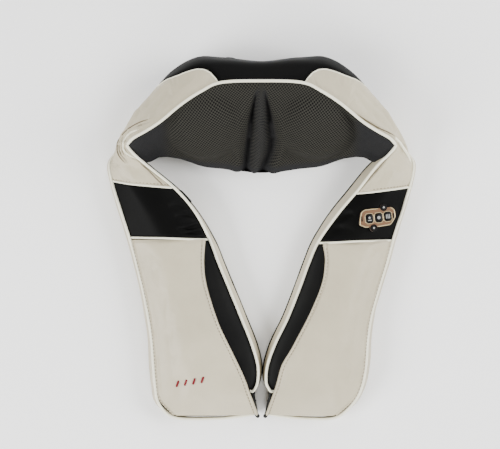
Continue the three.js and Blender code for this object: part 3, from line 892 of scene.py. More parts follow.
@dataclass
class CollarForm:
    """The leather strip that runs from the middle of the neck pad, round the shoulder fold, to one arm's tip.

    Each row is one station along the right half. Sizes are in millimetres.

    Attributes:
        pad_edge: piped top edge of the strip, which becomes the arm's inner edge.
        pad_middle: the strip's fullest line.
        pad_foot: the strip's lower edge, which becomes the arm's outer piping.
        bulge: how far the strip swells between those three lines.
        mesh_edge: lower edge of the mesh cover, up to its tip at the fold.
        gusset: how far in from the inner piping the side wall stands, by station.
        edge_shift: how far each station of the inner piping leans over, by side.
        foot_shift: the same for the outer piping.
        wall_height: height of the side wall's fold, by station.
        inner_foot: height of the side wall's foot, by station.
        outer_bulge: how far the outer wall stands in from its piping, by station.
        seam: where black leather meets pale, as a share down the strip, by station.
        side: which arm this form is for; the two arms lie a little differently.
    """

    side: Side = Side.RIGHT
    pad_edge: list = field(
        default_factory=lambda: [
            (0, 201, 92), (51, 199, 92), (76, 188, 92), (101, 172, 90), (127, 151, 87), (146, 139, 83), (163, 130, 78),
            (172, 122, 71), (164, 110, 62), (149, 95, 50), (127, 66, 42), (101, 35, 38), (74, -1, 35), (61, -30, 32),
            (47, -64, 31), (31, -103, 30), (16, -137, 30), (7, -165, 30), (6, -186, 29), (11, -205, 25),
            (6.5, -229, 19),
        ]
    )
    pad_middle: list = field(
        default_factory=lambda: [
            (0, 231, 52), (50, 236, 52), (84, 236, 52), (117, 217, 50), (148, 184, 46), (166, 166, 43), (181, 139, 41),
            (190, 119, 39), (190, 106, 43), (180, 93, 46), (168, 68, 47), (146, 36, 48), (124, 0, 47),
        ]
    )
    pad_foot: list = field(
        default_factory=lambda: [
            (0, 230, 5), (51, 234, 5), (83, 233, 5), (115, 217, 5), (146, 182, 5), (162, 163, 5), (175, 141, 6),
            (187, 122, 8), (198, 108, 17), (200, 94, 26), (195, 70, 29), (184.5, 36, 30), (173, 0, 30), (164, -33, 30),
            (153, -68, 30), (144, -102, 30), (139.5, -133, 30), (137.5, -165, 29), (132, -194, 28), (120, -217, 25),
            (98, -236, 17),
        ]
    )
    bulge: list = field(
        default_factory=lambda: [(0, 9), (2, 10), (3, 9), (4, 7), (5, 5), (6, 4), (7, 3), (8, 3), (9, 4), (12, 3.5)]
    )
    mesh_edge: list = field(
        default_factory=lambda: [
            (0, 88, 20), (51, 94, 20), (76, 97, 20), (98, 103.5, 20), (117, 109.5, 22), (134, 109, 30), (151, 102, 43),
            (172, 122, 70),
        ]
    )
    gusset: dict = field(
        default_factory=lambda: {
            Side.RIGHT: [
                (7, 4), (8, 8), (9, 10), (10, 12), (11, 10), (12, 7), (13, 6), (16, 6), (17, 4.5), (18, 3), (19, 0.4),
                (21, 0.2),
            ],
            Side.LEFT: [(7, 2), (11, 2), (12, 5), (13, 6), (16, 6), (17, 4.5), (18, 3), (19, 0.4), (21, 0.2)],
        }
    )
    edge_shift: dict = field(
        default_factory=lambda: {
            Side.RIGHT: [(11, 0), (12, 1.5), (13, 1.5), (14, 3), (15, 3.5), (16, 2), (17, 1), (18, 0)],
            Side.LEFT: [
                (8, 0), (9, -2), (10, -15), (11, -15), (12, -6.5), (13, -4.5), (15, -4.5), (16, -3), (17, -2), (18, -1),
                (20, 0),
            ],
        }
    )
    foot_shift: dict = field(
        default_factory=lambda: {
            Side.RIGHT: [(0, 0), (20, 0)],
            Side.LEFT: [(13, 0), (14, 2.5), (15, 5), (17, 5), (18, 8), (19, 15), (20, 17)],
        }
    )
    wall_height: tuple = ((7, 34), (8, 40), (9, 30), (10, 19), (11, 11), (12, 9), (20, 8))
    inner_foot: tuple = ((7, 4), (8, 18), (9, 15), (10, 5), (11, 1), (20, 0.8))
    outer_bulge: tuple = ((7, 1), (8, 4), (9, 5), (20, 5))
    seam: tuple = (
        (1.08, 0.0), (1.25, 0.07), (1.45, 0.135), (1.7, 0.185), (2.0, 0.222), (2.35, 0.25), (2.7, 0.285),
        (3.0, 0.34), (3.25, 0.42), (3.5, 0.52), (3.8, 0.66), (4.2, 0.84), (4.6, 0.95), (5.0, 1.0),
    )

    def __post_init__(self) -> None:
        """Leans the arm's two edges as they lie on this side."""
        for line, shift in ((self.pad_edge, self.edge_shift), (self.pad_foot, self.foot_shift)):
            for t, (x, y, z) in enumerate(line):
                line[t] = (x + float(table(shift[self.side], float(t))), y, z)

    def strip(self) -> Points:
        """Lays out the outer strip, from the pad's middle to the start of the pocket.

        Returns:
            A control net, rows by five by 3.
        """
        edge, middle = np.array(self.pad_edge[:13], float), np.array(self.pad_middle, float)
        foot = np.array(self.pad_foot[:13], float)
        along = np.gradient(middle, axis=0)
        out = unit(np.cross(along, edge - foot))
        out = np.where(out[:, 2:3] + out[:, 1:2] < 0, -out, out)
        swell = table(self.bulge, np.arange(13.0))[:, None]
        upper = (edge + middle) / 2 + out * swell
        lower = (middle + foot) / 2 + out * swell * 0.45
        return np.stack([edge, upper, middle, lower, foot], 1)

    def below(self) -> Points:
        """Lays out the underside and inner gusset, from the outer piping round to the inner.

        Returns:
            A control net, rows by seven by 3, with one more row that closes the tip.
        """
        last_pad_row, rows = 6, []
        for t, (edge, foot) in enumerate(zip(self.pad_edge, self.pad_foot)):
            edge, foot = np.array(edge, float), np.array(foot, float)
            if t <= last_pad_row:
                inner = np.array(self.mesh_edge[t], float)
                low_in = inner + (foot - inner) * 0.12
                low_in[2] = 0.5
                low_out = foot - (foot - inner) * 0.05
                low_out[2] = 0.5
                bulge_out = foot - [0, 0, 3.6]
                gusset = inner * 0.8 + low_in * 0.2 - [0, 0, inner[2] * 0.3]
                middle = (low_in + low_out) / 2
                rows.append([foot, bulge_out, low_out, middle, low_in, gusset, inner])
                continue
            wide = foot - edge
            wide[2] = 0
            step = wide / np.linalg.norm(wide)
            reach = table(self.gusset[self.side], float(t))
            gusset = edge - step * reach
            gusset[2] = table(self.wall_height, float(t))
            low_in = edge - step * (reach - 6)
            low_in[2] = table(self.inner_foot, float(t))
            low_out = foot + step
            low_out[2] = 1.5
            bulge_out = foot + step * table(self.outer_bulge, float(t))
            bulge_out[2] = foot[2] * 0.55
            middle = (low_in + low_out) / 2
            middle[2] = min(low_in[2], 9) * 0.4 + 0.4
            rows.append([foot, bulge_out, low_out, middle, low_in, gusset, edge])
        last = np.array(rows[-1])
        close = last.mean(0)
        tip = last + (close - last) * [0.0, 0.0, 0.75] + [0, -3.0, 0]
        tip[:3] += [-3.5, 3.5, 0]
        tip[:, 2] = np.clip(tip[:, 2], 5, 14)
        return np.array([*rows, tip])

    def seam_share(self, rows: Points) -> Points:
        """Where the black back meets the pale side panel, as a share down the strip at each row."""
        return table(self.seam, rows)


@dataclass
class NeckPad:
    """The pad behind the neck: black back, mesh front over the massage heads, piping and underside.

    Attributes:
        form: the shape it follows.
        leather: finish of its back and underside.
        mesh: finish of its face.
        piping: finish of its cords.
        plastic: finish of the inlet's surround.
        steel: finish of the inlet's pin.
        head_x: how far each massage head's axis stands from the middle.
        head_v: how far up the slope it stands.
        node_sweep: the large nodes' orbit, the cover's reach from it and that circle's height.
        dome: each dome's height, how much it falls, where the fall starts and over how far.
        dome_ease: the height over which a dome grows out of the cloth round it.
        slope: the face's lean in degrees.
        slope_origin: where the slope's own frame lies.
        lamp: place and least height of the cover over each lamp.
        inlet_place: across and height of the inlet on the back.
    """

    form: CollarForm
    leather: bpy.types.Material
    mesh: bpy.types.Material
    piping: bpy.types.Material
    plastic: bpy.types.Material
    steel: bpy.types.Material
    head_x: float = 72.0
    head_v: float = 5.5
    node_sweep: tuple[float, float, float] = (27, 18.4, -3.0)
    dome: tuple[float, float, float, float] = (17.5, 19.0, 22.0, 30.0)
    dome_ease: float = 6.0
    slope: float = 36.0
    slope_origin: tuple[float, float, float] = (0.0, 142.0, 56.0)
    lamp: tuple[float, float, float] = (14.0, -4.0, -7.8)
    inlet_place: tuple[float, float] = (-40.0, 30.0)

    def both_halves(self, net: Points) -> Points:
        """A right-half control net with its mirror image put before it."""
        return np.concatenate([(net * [-1, 1, 1])[:0:-1], net])

    def back(self) -> bpy.types.Object:
        """The black leather back and collar.

        Returns:
            The new object.
        """
        net = self.both_halves(self.form.strip()[:7])
        rows = np.linspace(-5.15, 5.15, 150)
        start = self.form.seam_share(np.abs(rows))
        shares = start[:, None] + (1 - start[:, None]) * np.linspace(0, 1, 34)
        grid = surface(net, rows + 6, shares)
        grid = cloth_pass(grid, "", 3.0, 0.012, 4.0)
        fall = edge_fall(*grid.shape[:2], "cC", 1.8, 1.6)
        grid = creased(grid, fall + 0.7 * lumps(grid, 42, 3.0))
        piece = sheet_piece("collar_back_leather", grid, 1.3, self.leather)
        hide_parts("pad_cover_centre", "pad_cover_left", "pad_cover_right")
        self.inlet(grid)
        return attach(piece, "collar")

    def inlet(self, grid: Points) -> None:
        """The power inlet's surround, well and pin, pressed through the back leather.

        Args:
            grid: the back leather, which it sits flush in.
        """
        away = np.hypot(grid[..., 0] - self.inlet_place[0], grid[..., 2] - self.inlet_place[1])
        spot = np.unravel_index(np.argmin(away), away.shape)
        facing = Vector(normals(grid)[spot]).to_track_quat("Z", "Y").to_matrix().to_4x4()
        pose = Matrix.Translation(grid[spot]) @ facing
        ring = lifted(pose, circle(5.6, (0, 0), 36), -0.4)
        for piece in (
            tube_piece("inlet_bezel", np.concatenate([ring, ring[:1]]), 1.1, self.plastic, 10, 0),
            prism_piece("inlet_well", circle(5.2, (0, 0), 28), -2.5, 0.15, 0.1, self.plastic, pose),
            prism_piece("inlet_pin", circle(1.2, (0, 0), 14), -0.5, 0.6, 0.2, self.steel, pose),
        ):
            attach(piece, "collar")

    def underside(self) -> bpy.types.Object:
        """The flat underside and the low front wall beneath the mesh.

        Returns:
            The new object.
        """
        net = self.both_halves(self.form.below()[:8])
        grid = surface(net, np.linspace(-5.6, 5.6, 130) + 7, np.linspace(0, 1, 46))
        grid[..., 2] = np.maximum(grid[..., 2], FLOOR_GAP)
        piece = sheet_piece("collar_underside_leather", grid, 1.2, self.leather)
        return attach(piece, "collar")

    def face(self) -> bpy.types.Object:
        """The breathable cover: two domes over the heads, a deep pleat between them, tips that reach the folds.

        Returns:
            The new object.
        """
        top = np.array(self.form.pad_edge[:8], float)
        low = np.array(self.form.mesh_edge, float)
        shares = np.linspace(0, 1, 5)[:, None]
        net = np.array([a + (b - a) * shares for a, b in zip(top, low)])
        net = self.both_halves(net)
        rows = np.linspace(-6.93, 6.93, 301)
        down = np.linspace(0, 1, 71)
        grid = surface(net, rows + 7, down)
        x, v = grid[..., 0], np.broadcast_to(down, grid.shape[:2])
        rim = ramp(v / 0.2) * ramp((1 - v) / 0.2)
        ends = ramp((6.9 - np.abs(rows)) / 2.2)[:, None]
        grid = creased(grid, rim * ends * 5 + ends * 0.5 * lumps(grid, 30, 9.0))
        up, out = self.slope_axes()
        local = grid - np.array(self.slope_origin)
        high = local @ out
        away = np.hypot(np.abs(x) - self.head_x, local @ up - self.head_v)
        orbit, reach, centre = self.node_sweep
        past, steep = np.maximum(away - orbit, 0), reach * math.sqrt(0.5)
        shell = centre + np.sqrt(reach**2 - np.minimum(past, steep) ** 2) - np.maximum(past - steep, 0)
        top_height, fall, fall_from, fall_over = self.dome
        need = np.maximum(top_height - fall * ramp((away - fall_from) / fall_over), shell)
        gap, ease = need - high, self.dome_ease
        eased = (gap + ease) ** 2 / (4 * ease)
        raised = np.where(gap > -ease, eased * (gap < ease) + np.maximum(gap, 0) * (gap >= ease), 0)
        raised = softened(softened(raised))
        sag = 2.0 * np.exp(-(((np.abs(x) - 100) / 14) ** 2)) * ramp((v - 0.7) / 0.3)
        lift = raised * ramp(v / 0.06) * ramp((1 - v) / 0.06) - sag + self.pleat(x, v)
        grid = grid + out * lift[..., None]
        local = grid - np.array(self.slope_origin)
        to_lamp = np.hypot(np.abs(x) - self.lamp[0], local @ up - self.lamp[1])
        least = self.lamp[2] - 0.8 * np.maximum(to_lamp - 10, 0)
        grid = grid + out * np.maximum(least - local @ out, 0)[..., None]
        turn = math.radians(9) * np.sign(x)
        along = (grid - np.array(self.slope_origin)) @ up
        flat = np.stack([x * np.cos(turn) - along * np.sin(turn), x * np.sin(turn) + along * np.cos(turn)], -1)
        plain = np.maximum(ramp((np.abs(x) - 112) / 20), ramp((v - 0.9) / 0.06))
        # Deep in the pleat's two valleys the cloth is drawn in the dark heather: painted shade. The loose fold between
        # them gets part of the same heather.
        left, right = self.valleys(v)
        flap = np.exp(-(((x - (left + right) / 2) / (1 + (right - left) * 0.3)) ** 4)) * ramp(v / 0.2)
        plain = np.maximum(plain, np.maximum(0.92 * ramp(self.wells(x, v) / 0.8) * ramp(v / 0.15), 0.6 * flap))
        piece = sheet_piece("mesh_cover_cloth", grid, 1.4, self.mesh, flat=flat, plain=plain)
        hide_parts("mesh_cover")
        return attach(piece, "collar")

    def slope_axes(self) -> tuple[Points, Points]:
        """Unit vectors up the sloping face and straight out of it.

        Returns:
            The upward and the outward vector.
        """
        lean = math.radians(self.slope)
        return np.array([0, math.cos(lean), math.sin(lean)]), np.array([0, -math.sin(lean), math.cos(lean)])

    def pleat(self, x: Points, v: Points) -> Points:
        """Height of the folded pleat: two deep valleys that part under the piping, with a loose fold between.

        Args:
            x: across the cover.
            v: share down the cover.

        Returns:
            Height at each point.
        """
        left, right = self.valleys(v)
        depth = 12.0 * ramp(v / 0.4)
        wells = self.wells(x, v)
        middle = (left + right) / 2
        flap = 4.0 * ramp(v / 0.3) * np.exp(-(((x - middle) / (1 + (right - left) * 0.22)) ** 2))
        brims = 4.0 * ramp(v / 0.4) * (np.exp(-(((x - left + 13) / 6) ** 2)) + np.exp(-(((x - right - 14) / 6) ** 2)))
        return (flap + brims - depth * wells) * (1 - 0.3 * ramp((v - 0.9) / 0.1))

    def valleys(self, v: Points) -> tuple[Points, Points]:
        """Where the pleat's left and right valleys run, down the cover.

        Args:
            v: share down the cover.

        Returns:
            The left and the right valley's place across.
        """
        left = table([(0, -1), (0.1, -6), (0.45, -14), (0.95, -20), (1, -20)], v)
        right = table([(0, 1.5), (0.27, 8), (0.62, 15), (0.8, 11.5), (1, 1)], v)
        return left, right

    def wells(self, x: Points, v: Points) -> Points:
        """How deep in a valley each place lies, from 0 to 1.

        Args:
            x: across the cover.
            v: share down the cover.

        Returns:
            The depth at each point.
        """
        left, right = self.valleys(v)
        wells = np.exp(-(((x - left) / (2.2 + 4.6 * v)) ** 2)) + np.exp(-(((x - right) / (2.4 + 5.6 * v)) ** 2))
        return np.minimum(wells, 1.0)

    def trim(self) -> list[bpy.types.Object]:
        """The cream piping round the mesh and the welt between black and pale leather.

        Returns:
            The new objects.
        """
        edge = np.array(self.form.pad_edge[:8], float)
        line = spline(self.both_halves(edge), np.linspace(0.0, 14.0, 220))
        piping = tube_piece("neck_piping_cord", line + [0, 0, 0.9], 1.9, self.piping)
        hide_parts("neck_piping")
        made = [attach(piping, "collar")]
        net = self.form.strip()
        rows = np.linspace(1.12, 5.1, 70)
        share = self.form.seam_share(rows)[:, None]
        seam = surface(net, rows, share)[:, 0]
        out = normals(surface(net, rows, share + np.linspace(0, 0.02, 2)))[:, 0]
        for side in Side:
            welt = tube_piece(f"collar_welt_{side.word}", mirrored(seam - out * 0.6, side), 1.1, self.piping, 8)
            made.append(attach(welt, "collar"))
        return made

    def build(self) -> None:
        """Builds the whole pad."""
        self.back()
        self.underside()
        self.face()
        self.trim()


@dataclass
class Arm:
    """One arm: the pale strip over the shoulder, black band, pocket panel over its lining, gusset and piping.

    Attributes:
        form: the shape it follows.
        side: which arm it is.
        pale: finish of the shoulder, panel and gusset.
        black: finish of the band.
        lining: finish inside the pocket.
        piping: finish of its cords and welts, and of the cream cords whose light colour paints a highlight along the
            folds' ridges.
        thread: finish of its stitches and of the dark cords that paint shade in the folds' creases.
        webbing: finish of its binding and side tab.
        emblem_thread: finish of the embroidered bars.
        creases: folds pressed into the shoulder leather.
        band_creases: folds pressed into the band.
        ridges_and_painted_light: raised fold lines as seen from above, each with its radius and what it is made of;
            among them, cream cords paint a highlight along a ridge and dark cords paint shade in a crease.
        band_from: the band's top seam, as the rows it meets at the inner and the outer edge, by side.
        band_to: the band's lower seam in the same way.
        hem: the pocket panel's open edge, by side.
    """

    form: CollarForm
    side: Side
    pale: bpy.types.Material
    black: bpy.types.Material
    lining: bpy.types.Material
    piping: bpy.types.Material
    thread: bpy.types.Material
    webbing: bpy.types.Material
    emblem_thread: bpy.types.Material
    creases: tuple[Crease, ...] = ()
    band_creases: tuple[Crease, ...] = ()
    ridges_and_painted_light: tuple = ()
    band_from: dict = field(default_factory=lambda: {Side.RIGHT: (10.2, 10.03), Side.LEFT: (9.95, 9.74)})
    band_to: dict = field(default_factory=lambda: {Side.RIGHT: (12.1, 12.03), Side.LEFT: (11.97, 11.93)})
    hem: dict = field(
        default_factory=lambda: {
            Side.RIGHT: [
                (80, -5, 43), (82.5, -29, 44), (77, -60, 45), (57.5, -104, 45), (38, -140, 43), (25, -163, 40),
                (16, -196, 35), (6, -229, 26),
            ],
            Side.LEFT: [
                (73, 1, 43), (74.5, -30, 44), (70.5, -60, 45), (55, -107, 45), (36, -147, 43), (20, -181, 40),
                (12.5, -205, 35), (5, -229, 26),
            ],
        }
    )

    @property
    def body(self) -> str:
        """The arm's rigid body."""
        return f"arm_{self.side.word}"

    def bend(self, piece: bpy.types.Object) -> bpy.types.Object:
        """Bakes a piece's placement into its mesh."""
        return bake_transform(piece)

    def shoulder(self) -> None:
        """The pale leather from the pad's side, round the fold, to the band."""
        rows = np.linspace(1.09, 10.0, 260)
        end = self.form.seam_share(rows)
        shares = end[:, None] * np.linspace(0, 1, 64)
        grid = self.to_band(rows, shares, self.band_from[self.side])
        grid = cloth_pass(grid, "", 1.2, 0.008, 1.8)
        narrow = np.clip(end / 0.25, 0, 1)[:, None]
        lift = edge_fall(*grid.shape[:2], "cCR", 1.5, 1.8) * narrow
        lift += 0.5 * lumps(grid, 38, 5.0 * self.side.value) * narrow
        grid = creased(grid, lift, self.creases)
        piece = sheet_piece(f"shoulder_leather_{self.side.word}", grid, 1.3, self.pale, self.side)
        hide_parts(f"shoulder_pad_{self.side.word}")
        self.bend(piece)
        # Cords along the folds: pale ridges, cream cords whose colour is a painted highlight, and dark cords that are
        # painted shade and sit a little proud instead of sunk.
        finishes = {Bead.PALE: self.pale, Bead.PIPING: self.piping, Bead.SEAM: self.thread}
        for k, (line, radius, bead) in enumerate(self.ridges_and_painted_light):
            points, out = drape(grid, line)
            middle = mirrored(points + out * (0.1 if bead is Bead.SEAM else -0.25) * radius, self.side)
            ridge = tube_piece(f"fold_ridge_{self.side.word}_{k + 1}", middle, radius, finishes[bead], 12, 26)
            self.bend(ridge)

    def slanted(self, place: Points, skew: tuple[float, float], shares: Points) -> Points:
        """Points across the strip along a slanting seam.

        Args:
            place: how many rows further down the whole seam lies.
            skew: its rows at the inner and the outer edge.
            shares: shares across the strip.

        Returns:
            One point for each share.
        """
        rows = skew[0] + (skew[1] - skew[0]) * shares + place
        lines = spline(self.form.strip(), rows)
        return np.array([spline(line, np.array([share * 4.0]))[0] for line, share in zip(lines, shares)])

    def to_band(self, rows: Points, shares: Points, skew: tuple[float, float]) -> Points:
        """The strip from its start to the band's slanting top seam.

        Args:
            rows: fractional row numbers.
            shares: shares across the strip, for each row.
            skew: the band's top seam.

        Returns:
            A grid of points.
        """
        straight = surface(self.form.strip(), rows, shares)
        seam = self.slanted(0.0, skew, shares[-1])
        late = ramp((rows - 8.4) / (rows[-1] - 8.4))[:, None, None]
        return straight + late * (seam - straight[-1])

    def band(self) -> None:
        """The black leather band across the arm, with its sewn ends."""
        across = np.linspace(0, 1, 70)
        top, bottom = self.band_from[self.side], self.band_to[self.side]
        grid = np.array(
            [
                self.slanted(0.0, tuple(a + (b - a) * part for a, b in zip(top, bottom)), across)
                for part in np.linspace(0, 1, 60)
            ]
        )
        lift = edge_fall(*grid.shape[:2], "rRcC", 1.3, 1.8) + 0.5 * lumps(grid, 30, 8.0)
        grid = creased(grid, lift, self.band_creases)
        piece = sheet_piece(f"band_leather_{self.side.word}", grid, 1.3, self.black, self.side)
        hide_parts(f"band_{self.side.word}")
        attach(piece, self.body)
        across = np.linspace(0.01, 0.99, 60)
        for skew, word, offset in ((top, "upper", -0.11), (bottom, "lower", 0.0)):
            strip = np.array([self.slanted(0.0, skew, across), self.slanted(0.04, skew, across)])
            line, out = strip[0], normals(strip)[0]
            line = mirrored(line - out * 0.4, self.side)
            welt = tube_piece(f"band_welt_{word}_{self.side.word}", line, 1.4, self.piping, 8)
            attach(welt, self.body)
            if offset:
                seam = np.array([self.slanted(offset, skew, across), self.slanted(offset + 0.04, skew, across)])
                self.stitches(f"shoulder_stitches_{self.side.word}", seam[0], normals(seam)[0])

    def stitches(self, name: str, line: Points, out: Points) -> None:
        """A stitch row on the arm's own body.

        Args:
            name: the row's name.
            line: points along it, for a right arm.
            out: outward normals there.
        """
        piece = stitch_piece(name, mirrored(line, self.side), mirrored(out, self.side), self.thread)
        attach(piece, self.body)

    def gusset(self) -> None:
        """Side walls and underside from the fold to the rounded tip."""
        word, net = self.side.word, self.form.below()
        rows = np.concatenate([np.linspace(5.6, 20, 230), np.linspace(20.1, 21, 8)])
        grid = surface(net, rows, np.linspace(0, 1, 60))
        grid[..., 2] = np.maximum(grid[..., 2], FLOOR_GAP)
        grid = creased(grid, 0.5 * lumps(grid, 26, 2.0 * self.side.value) * ramp((grid[..., 2] - 2) / 6))
        piece = sheet_piece(f"arm_gusset_leather_{word}", grid, 1.2, self.pale, self.side)
        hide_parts(f"arm_root_{word}", f"arm_pad_{word}")
        self.bend(piece)

    def inner_face(self) -> None:
        """The charcoal arm face that the hand rests on inside the pocket."""
        edge, foot = np.array(self.form.pad_edge[11:], float), np.array(self.form.pad_foot[11:], float)
        edge[8:, 0] -= 2.0
        middle = (edge + foot) / 2 + [0, 0, 0.5]
        middle[:, 2] = np.minimum(middle[:, 2], 31)
        net = np.stack([edge, edge * 0.75 + foot * 0.25, middle, edge * 0.25 + foot * 0.75, foot], 1)
        net[-1] = net[-1] * 0.45 + net[-2] * 0.55
        tip = net[-1:] + [0, -1.5, 0]
        tip[..., 2] = 11
        net = np.concatenate([net, tip])
        grid = surface(net, np.linspace(1.0, 10, 110), np.linspace(0.0, 1, 40))
        grid = creased(grid, edge_fall(*grid.shape[:2], "cC", 2.0, 1.2) - 0.8 + 0.4 * lumps(grid, 24, 1.0))
        piece = sheet_piece(f"pocket_lining_leather_{self.side.word}", grid, 1.0, self.lining, self.side)
        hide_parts(f"pocket_lining_{self.side.word}")
        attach(piece, self.body)

    def panel_net(self) -> Points:
        """Lays out the raised pocket panel.

        Returns:
            A control net, rows by five by 3, from the open hem to the outer seam.
        """
        hem = np.array(self.hem[self.side], float)
        stations = np.array([12.0, 12.95, 13.97, 15.2, 16.55, 17.5, 18.6, 19.75])
        foot = spline(np.array(self.form.pad_foot, float), stations)
        foot[:, 2] += 1.0
        # Each column's share across, its rise where hem and seam differ by 15 mm in height, and its own swell.
        columns = ((0, 0, 0), (0.25, 4.4, 1.5), (0.52, 7.8, 1.5), (0.82, 8.5, 0.6), (1, 0, 0))
        rows = [
            [h + (f - h) * share + [0, 0, rise * (h[2] - f[2]) / 15 + swell] for share, rise, swell in columns]
            for h, f in zip(hem, foot)
        ]
        tip = np.array(rows[-1]) + [0, -3.2, 0]
        tip[:, 2] = 12
        return np.array([*rows, tip])

    def panel(self) -> None:
        """The pale panel that stands over the hand, its rolled hem and its stitches."""
        net = self.panel_net()
        rows = np.linspace(0.02, 8, 140)
        near_hem, near_seam = 0.08, 0.93
        shares = np.concatenate(
            [
                np.linspace(0, near_hem, 13),
                np.linspace(near_hem, near_seam, 48)[1:],
                np.linspace(near_seam, 1, 10)[1:],
            ]
        )
        cut = surface(net, rows, shares)
        slack = (ramp((7.2 - rows) / 2.4)[:, None] * ramp((1 - shares) / 0.12))[..., None]
        grid = cut + (cloth_pass(cut, "cR", 1.6, 0.008, 3.0) - cut) * slack
        lift = edge_fall(*grid.shape[:2], "rC", 1.6, 1.6) + 0.9 * lumps(grid, 55, 4.0 + self.side.value)
        steps = np.linalg.norm(np.diff(grid, axis=1), axis=2)
        from_hem = np.concatenate([np.zeros((len(grid), 1)), np.cumsum(steps, axis=1)], axis=1)
        from_seam = from_hem[:, -1:] - from_hem
        roll = 1.3 * np.exp(-(((from_hem - 1.9) / 1.5) ** 2)) - 2.2 * np.exp(-((from_hem / 0.7) ** 2))
        roll -= 0.9 * np.exp(-(((from_hem - 4.4) / 1.0) ** 2)) + 1.1 * np.exp(-(((from_seam - 4.6) / 1.1) ** 2))
        grid = creased(grid, lift + roll)
        piece = sheet_piece(f"pocket_panel_leather_{self.side.word}", grid, 3.2, self.pale, self.side)
        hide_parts(f"pocket_panel_{self.side.word}")
        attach(piece, self.body)
        out = normals(grid)
        for word, column in (("hem", 6), ("seam", len(shares) - 5)):
            self.stitches(f"{word}_stitches_{self.side.word}", grid[3:-6, column], out[3:-6, column])
        if self.side is Side.LEFT:
            self.emblem(grid)

    def emblem(self, grid: Points) -> None:
        """Four simple slanting embroidered bars low on the pocket panel.

        Args:
            grid: the panel they lie on.
        """
        for k in range(4):
            x, y = 110 - 11 * k, -189 + 2.1 * k
            points, out = drape(grid, ((x + 1.5, y - 4.5), (x, y), (x - 1.5, y + 4.5)), 24)
            line = mirrored(points + out * 0.3, self.side)
            piece = tube_piece(f"embroidered_bar_{k + 1}", line, 1.4, self.emblem_thread, 10, 4)
            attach(piece, self.body)

    def pipings(self) -> None:
        """Piping along the inner and outer edges, end wall, tip strip, side tab and the binding low on the gusset."""
        word = self.side.word
        edge = np.array(self.form.pad_edge, float)
        hook = [edge[18] + [3.2, -9.5, -0.5], edge[18] + [7.0, -14.0, -1.5], edge[18] + [10.5, -13.5, -2.5]]
        inner = spline(np.concatenate([edge[:19], hook]), np.linspace(7.0, 21, 260))
        piping = tube_piece(f"arm_piping_cord_{word}", mirrored(inner + [0, 0, 1.0], self.side), 1.8, self.piping)
        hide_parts(f"arm_piping_{word}")
        foot = np.array(self.form.pad_foot, float)
        along_foot = [(62, -238.0, 14), (34, -235.5, 14), (9, -231.5, 14)]
        end_wall_from, end_wall_foot = 19.4, 2.0
        stations = np.linspace(6.0, 23, 330)
        outer = spline(np.concatenate([foot, along_foot]), stations)
        top = outer[stations > end_wall_from]
        down = np.linspace(0, 1, 9)[:, None, None]
        drop = np.array([0, 1.0, 0]) - [0, 0, 1] * (top[:, 2:3] - end_wall_foot)
        wall = top + down * drop - np.sin(np.pi * down) * [0, 1.2, 0]
        end_wall = sheet_piece(f"arm_end_leather_{word}", wall, 1.0, self.pale, self.side)
        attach(end_wall, self.body)
        second = tube_piece(f"outer_piping_cord_{word}", mirrored(outer + [0, 0, 1.0], self.side), 1.8, self.piping)
        end = spline(np.concatenate([edge[18:21], edge[20:] + [-3, -7, -6]]), np.linspace(0.75, 3, 40))
        strip = tube_piece(f"tip_strip_{word}", mirrored(end + [0.8, 0, -1.0], self.side), 2.7, self.lining)
        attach(strip, self.body)
        low = self.form.below()[7:21, 5]
        line = spline(low, np.linspace(0.6, 13, 240))
        binding = tube_piece(f"gusset_binding_{word}", mirrored(line - [0, 0, 1.0], self.side), 1.4, self.webbing, 8)
        if self.side is Side.LEFT:
            near = inner[(inner[:, 1] > 49) & (inner[:, 1] < 68)]
            line = mirrored(near + [-5.4, -2.6, -3.0], self.side)
            tab = tube_piece("side_tab_webbing", line, 2.3, self.webbing, 10, 1)
            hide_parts("side_tab")
            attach(tab, self.body)
        for piece, name in ((piping, "piping"), (second, "piping"), (binding, "black_leather")):
            self.bend(piece)

    def build(self) -> None:
        """Builds the whole arm."""
        self.shoulder()
        self.band()
        self.gusset()
        self.inner_face()
        self.panel()
        self.pipings()


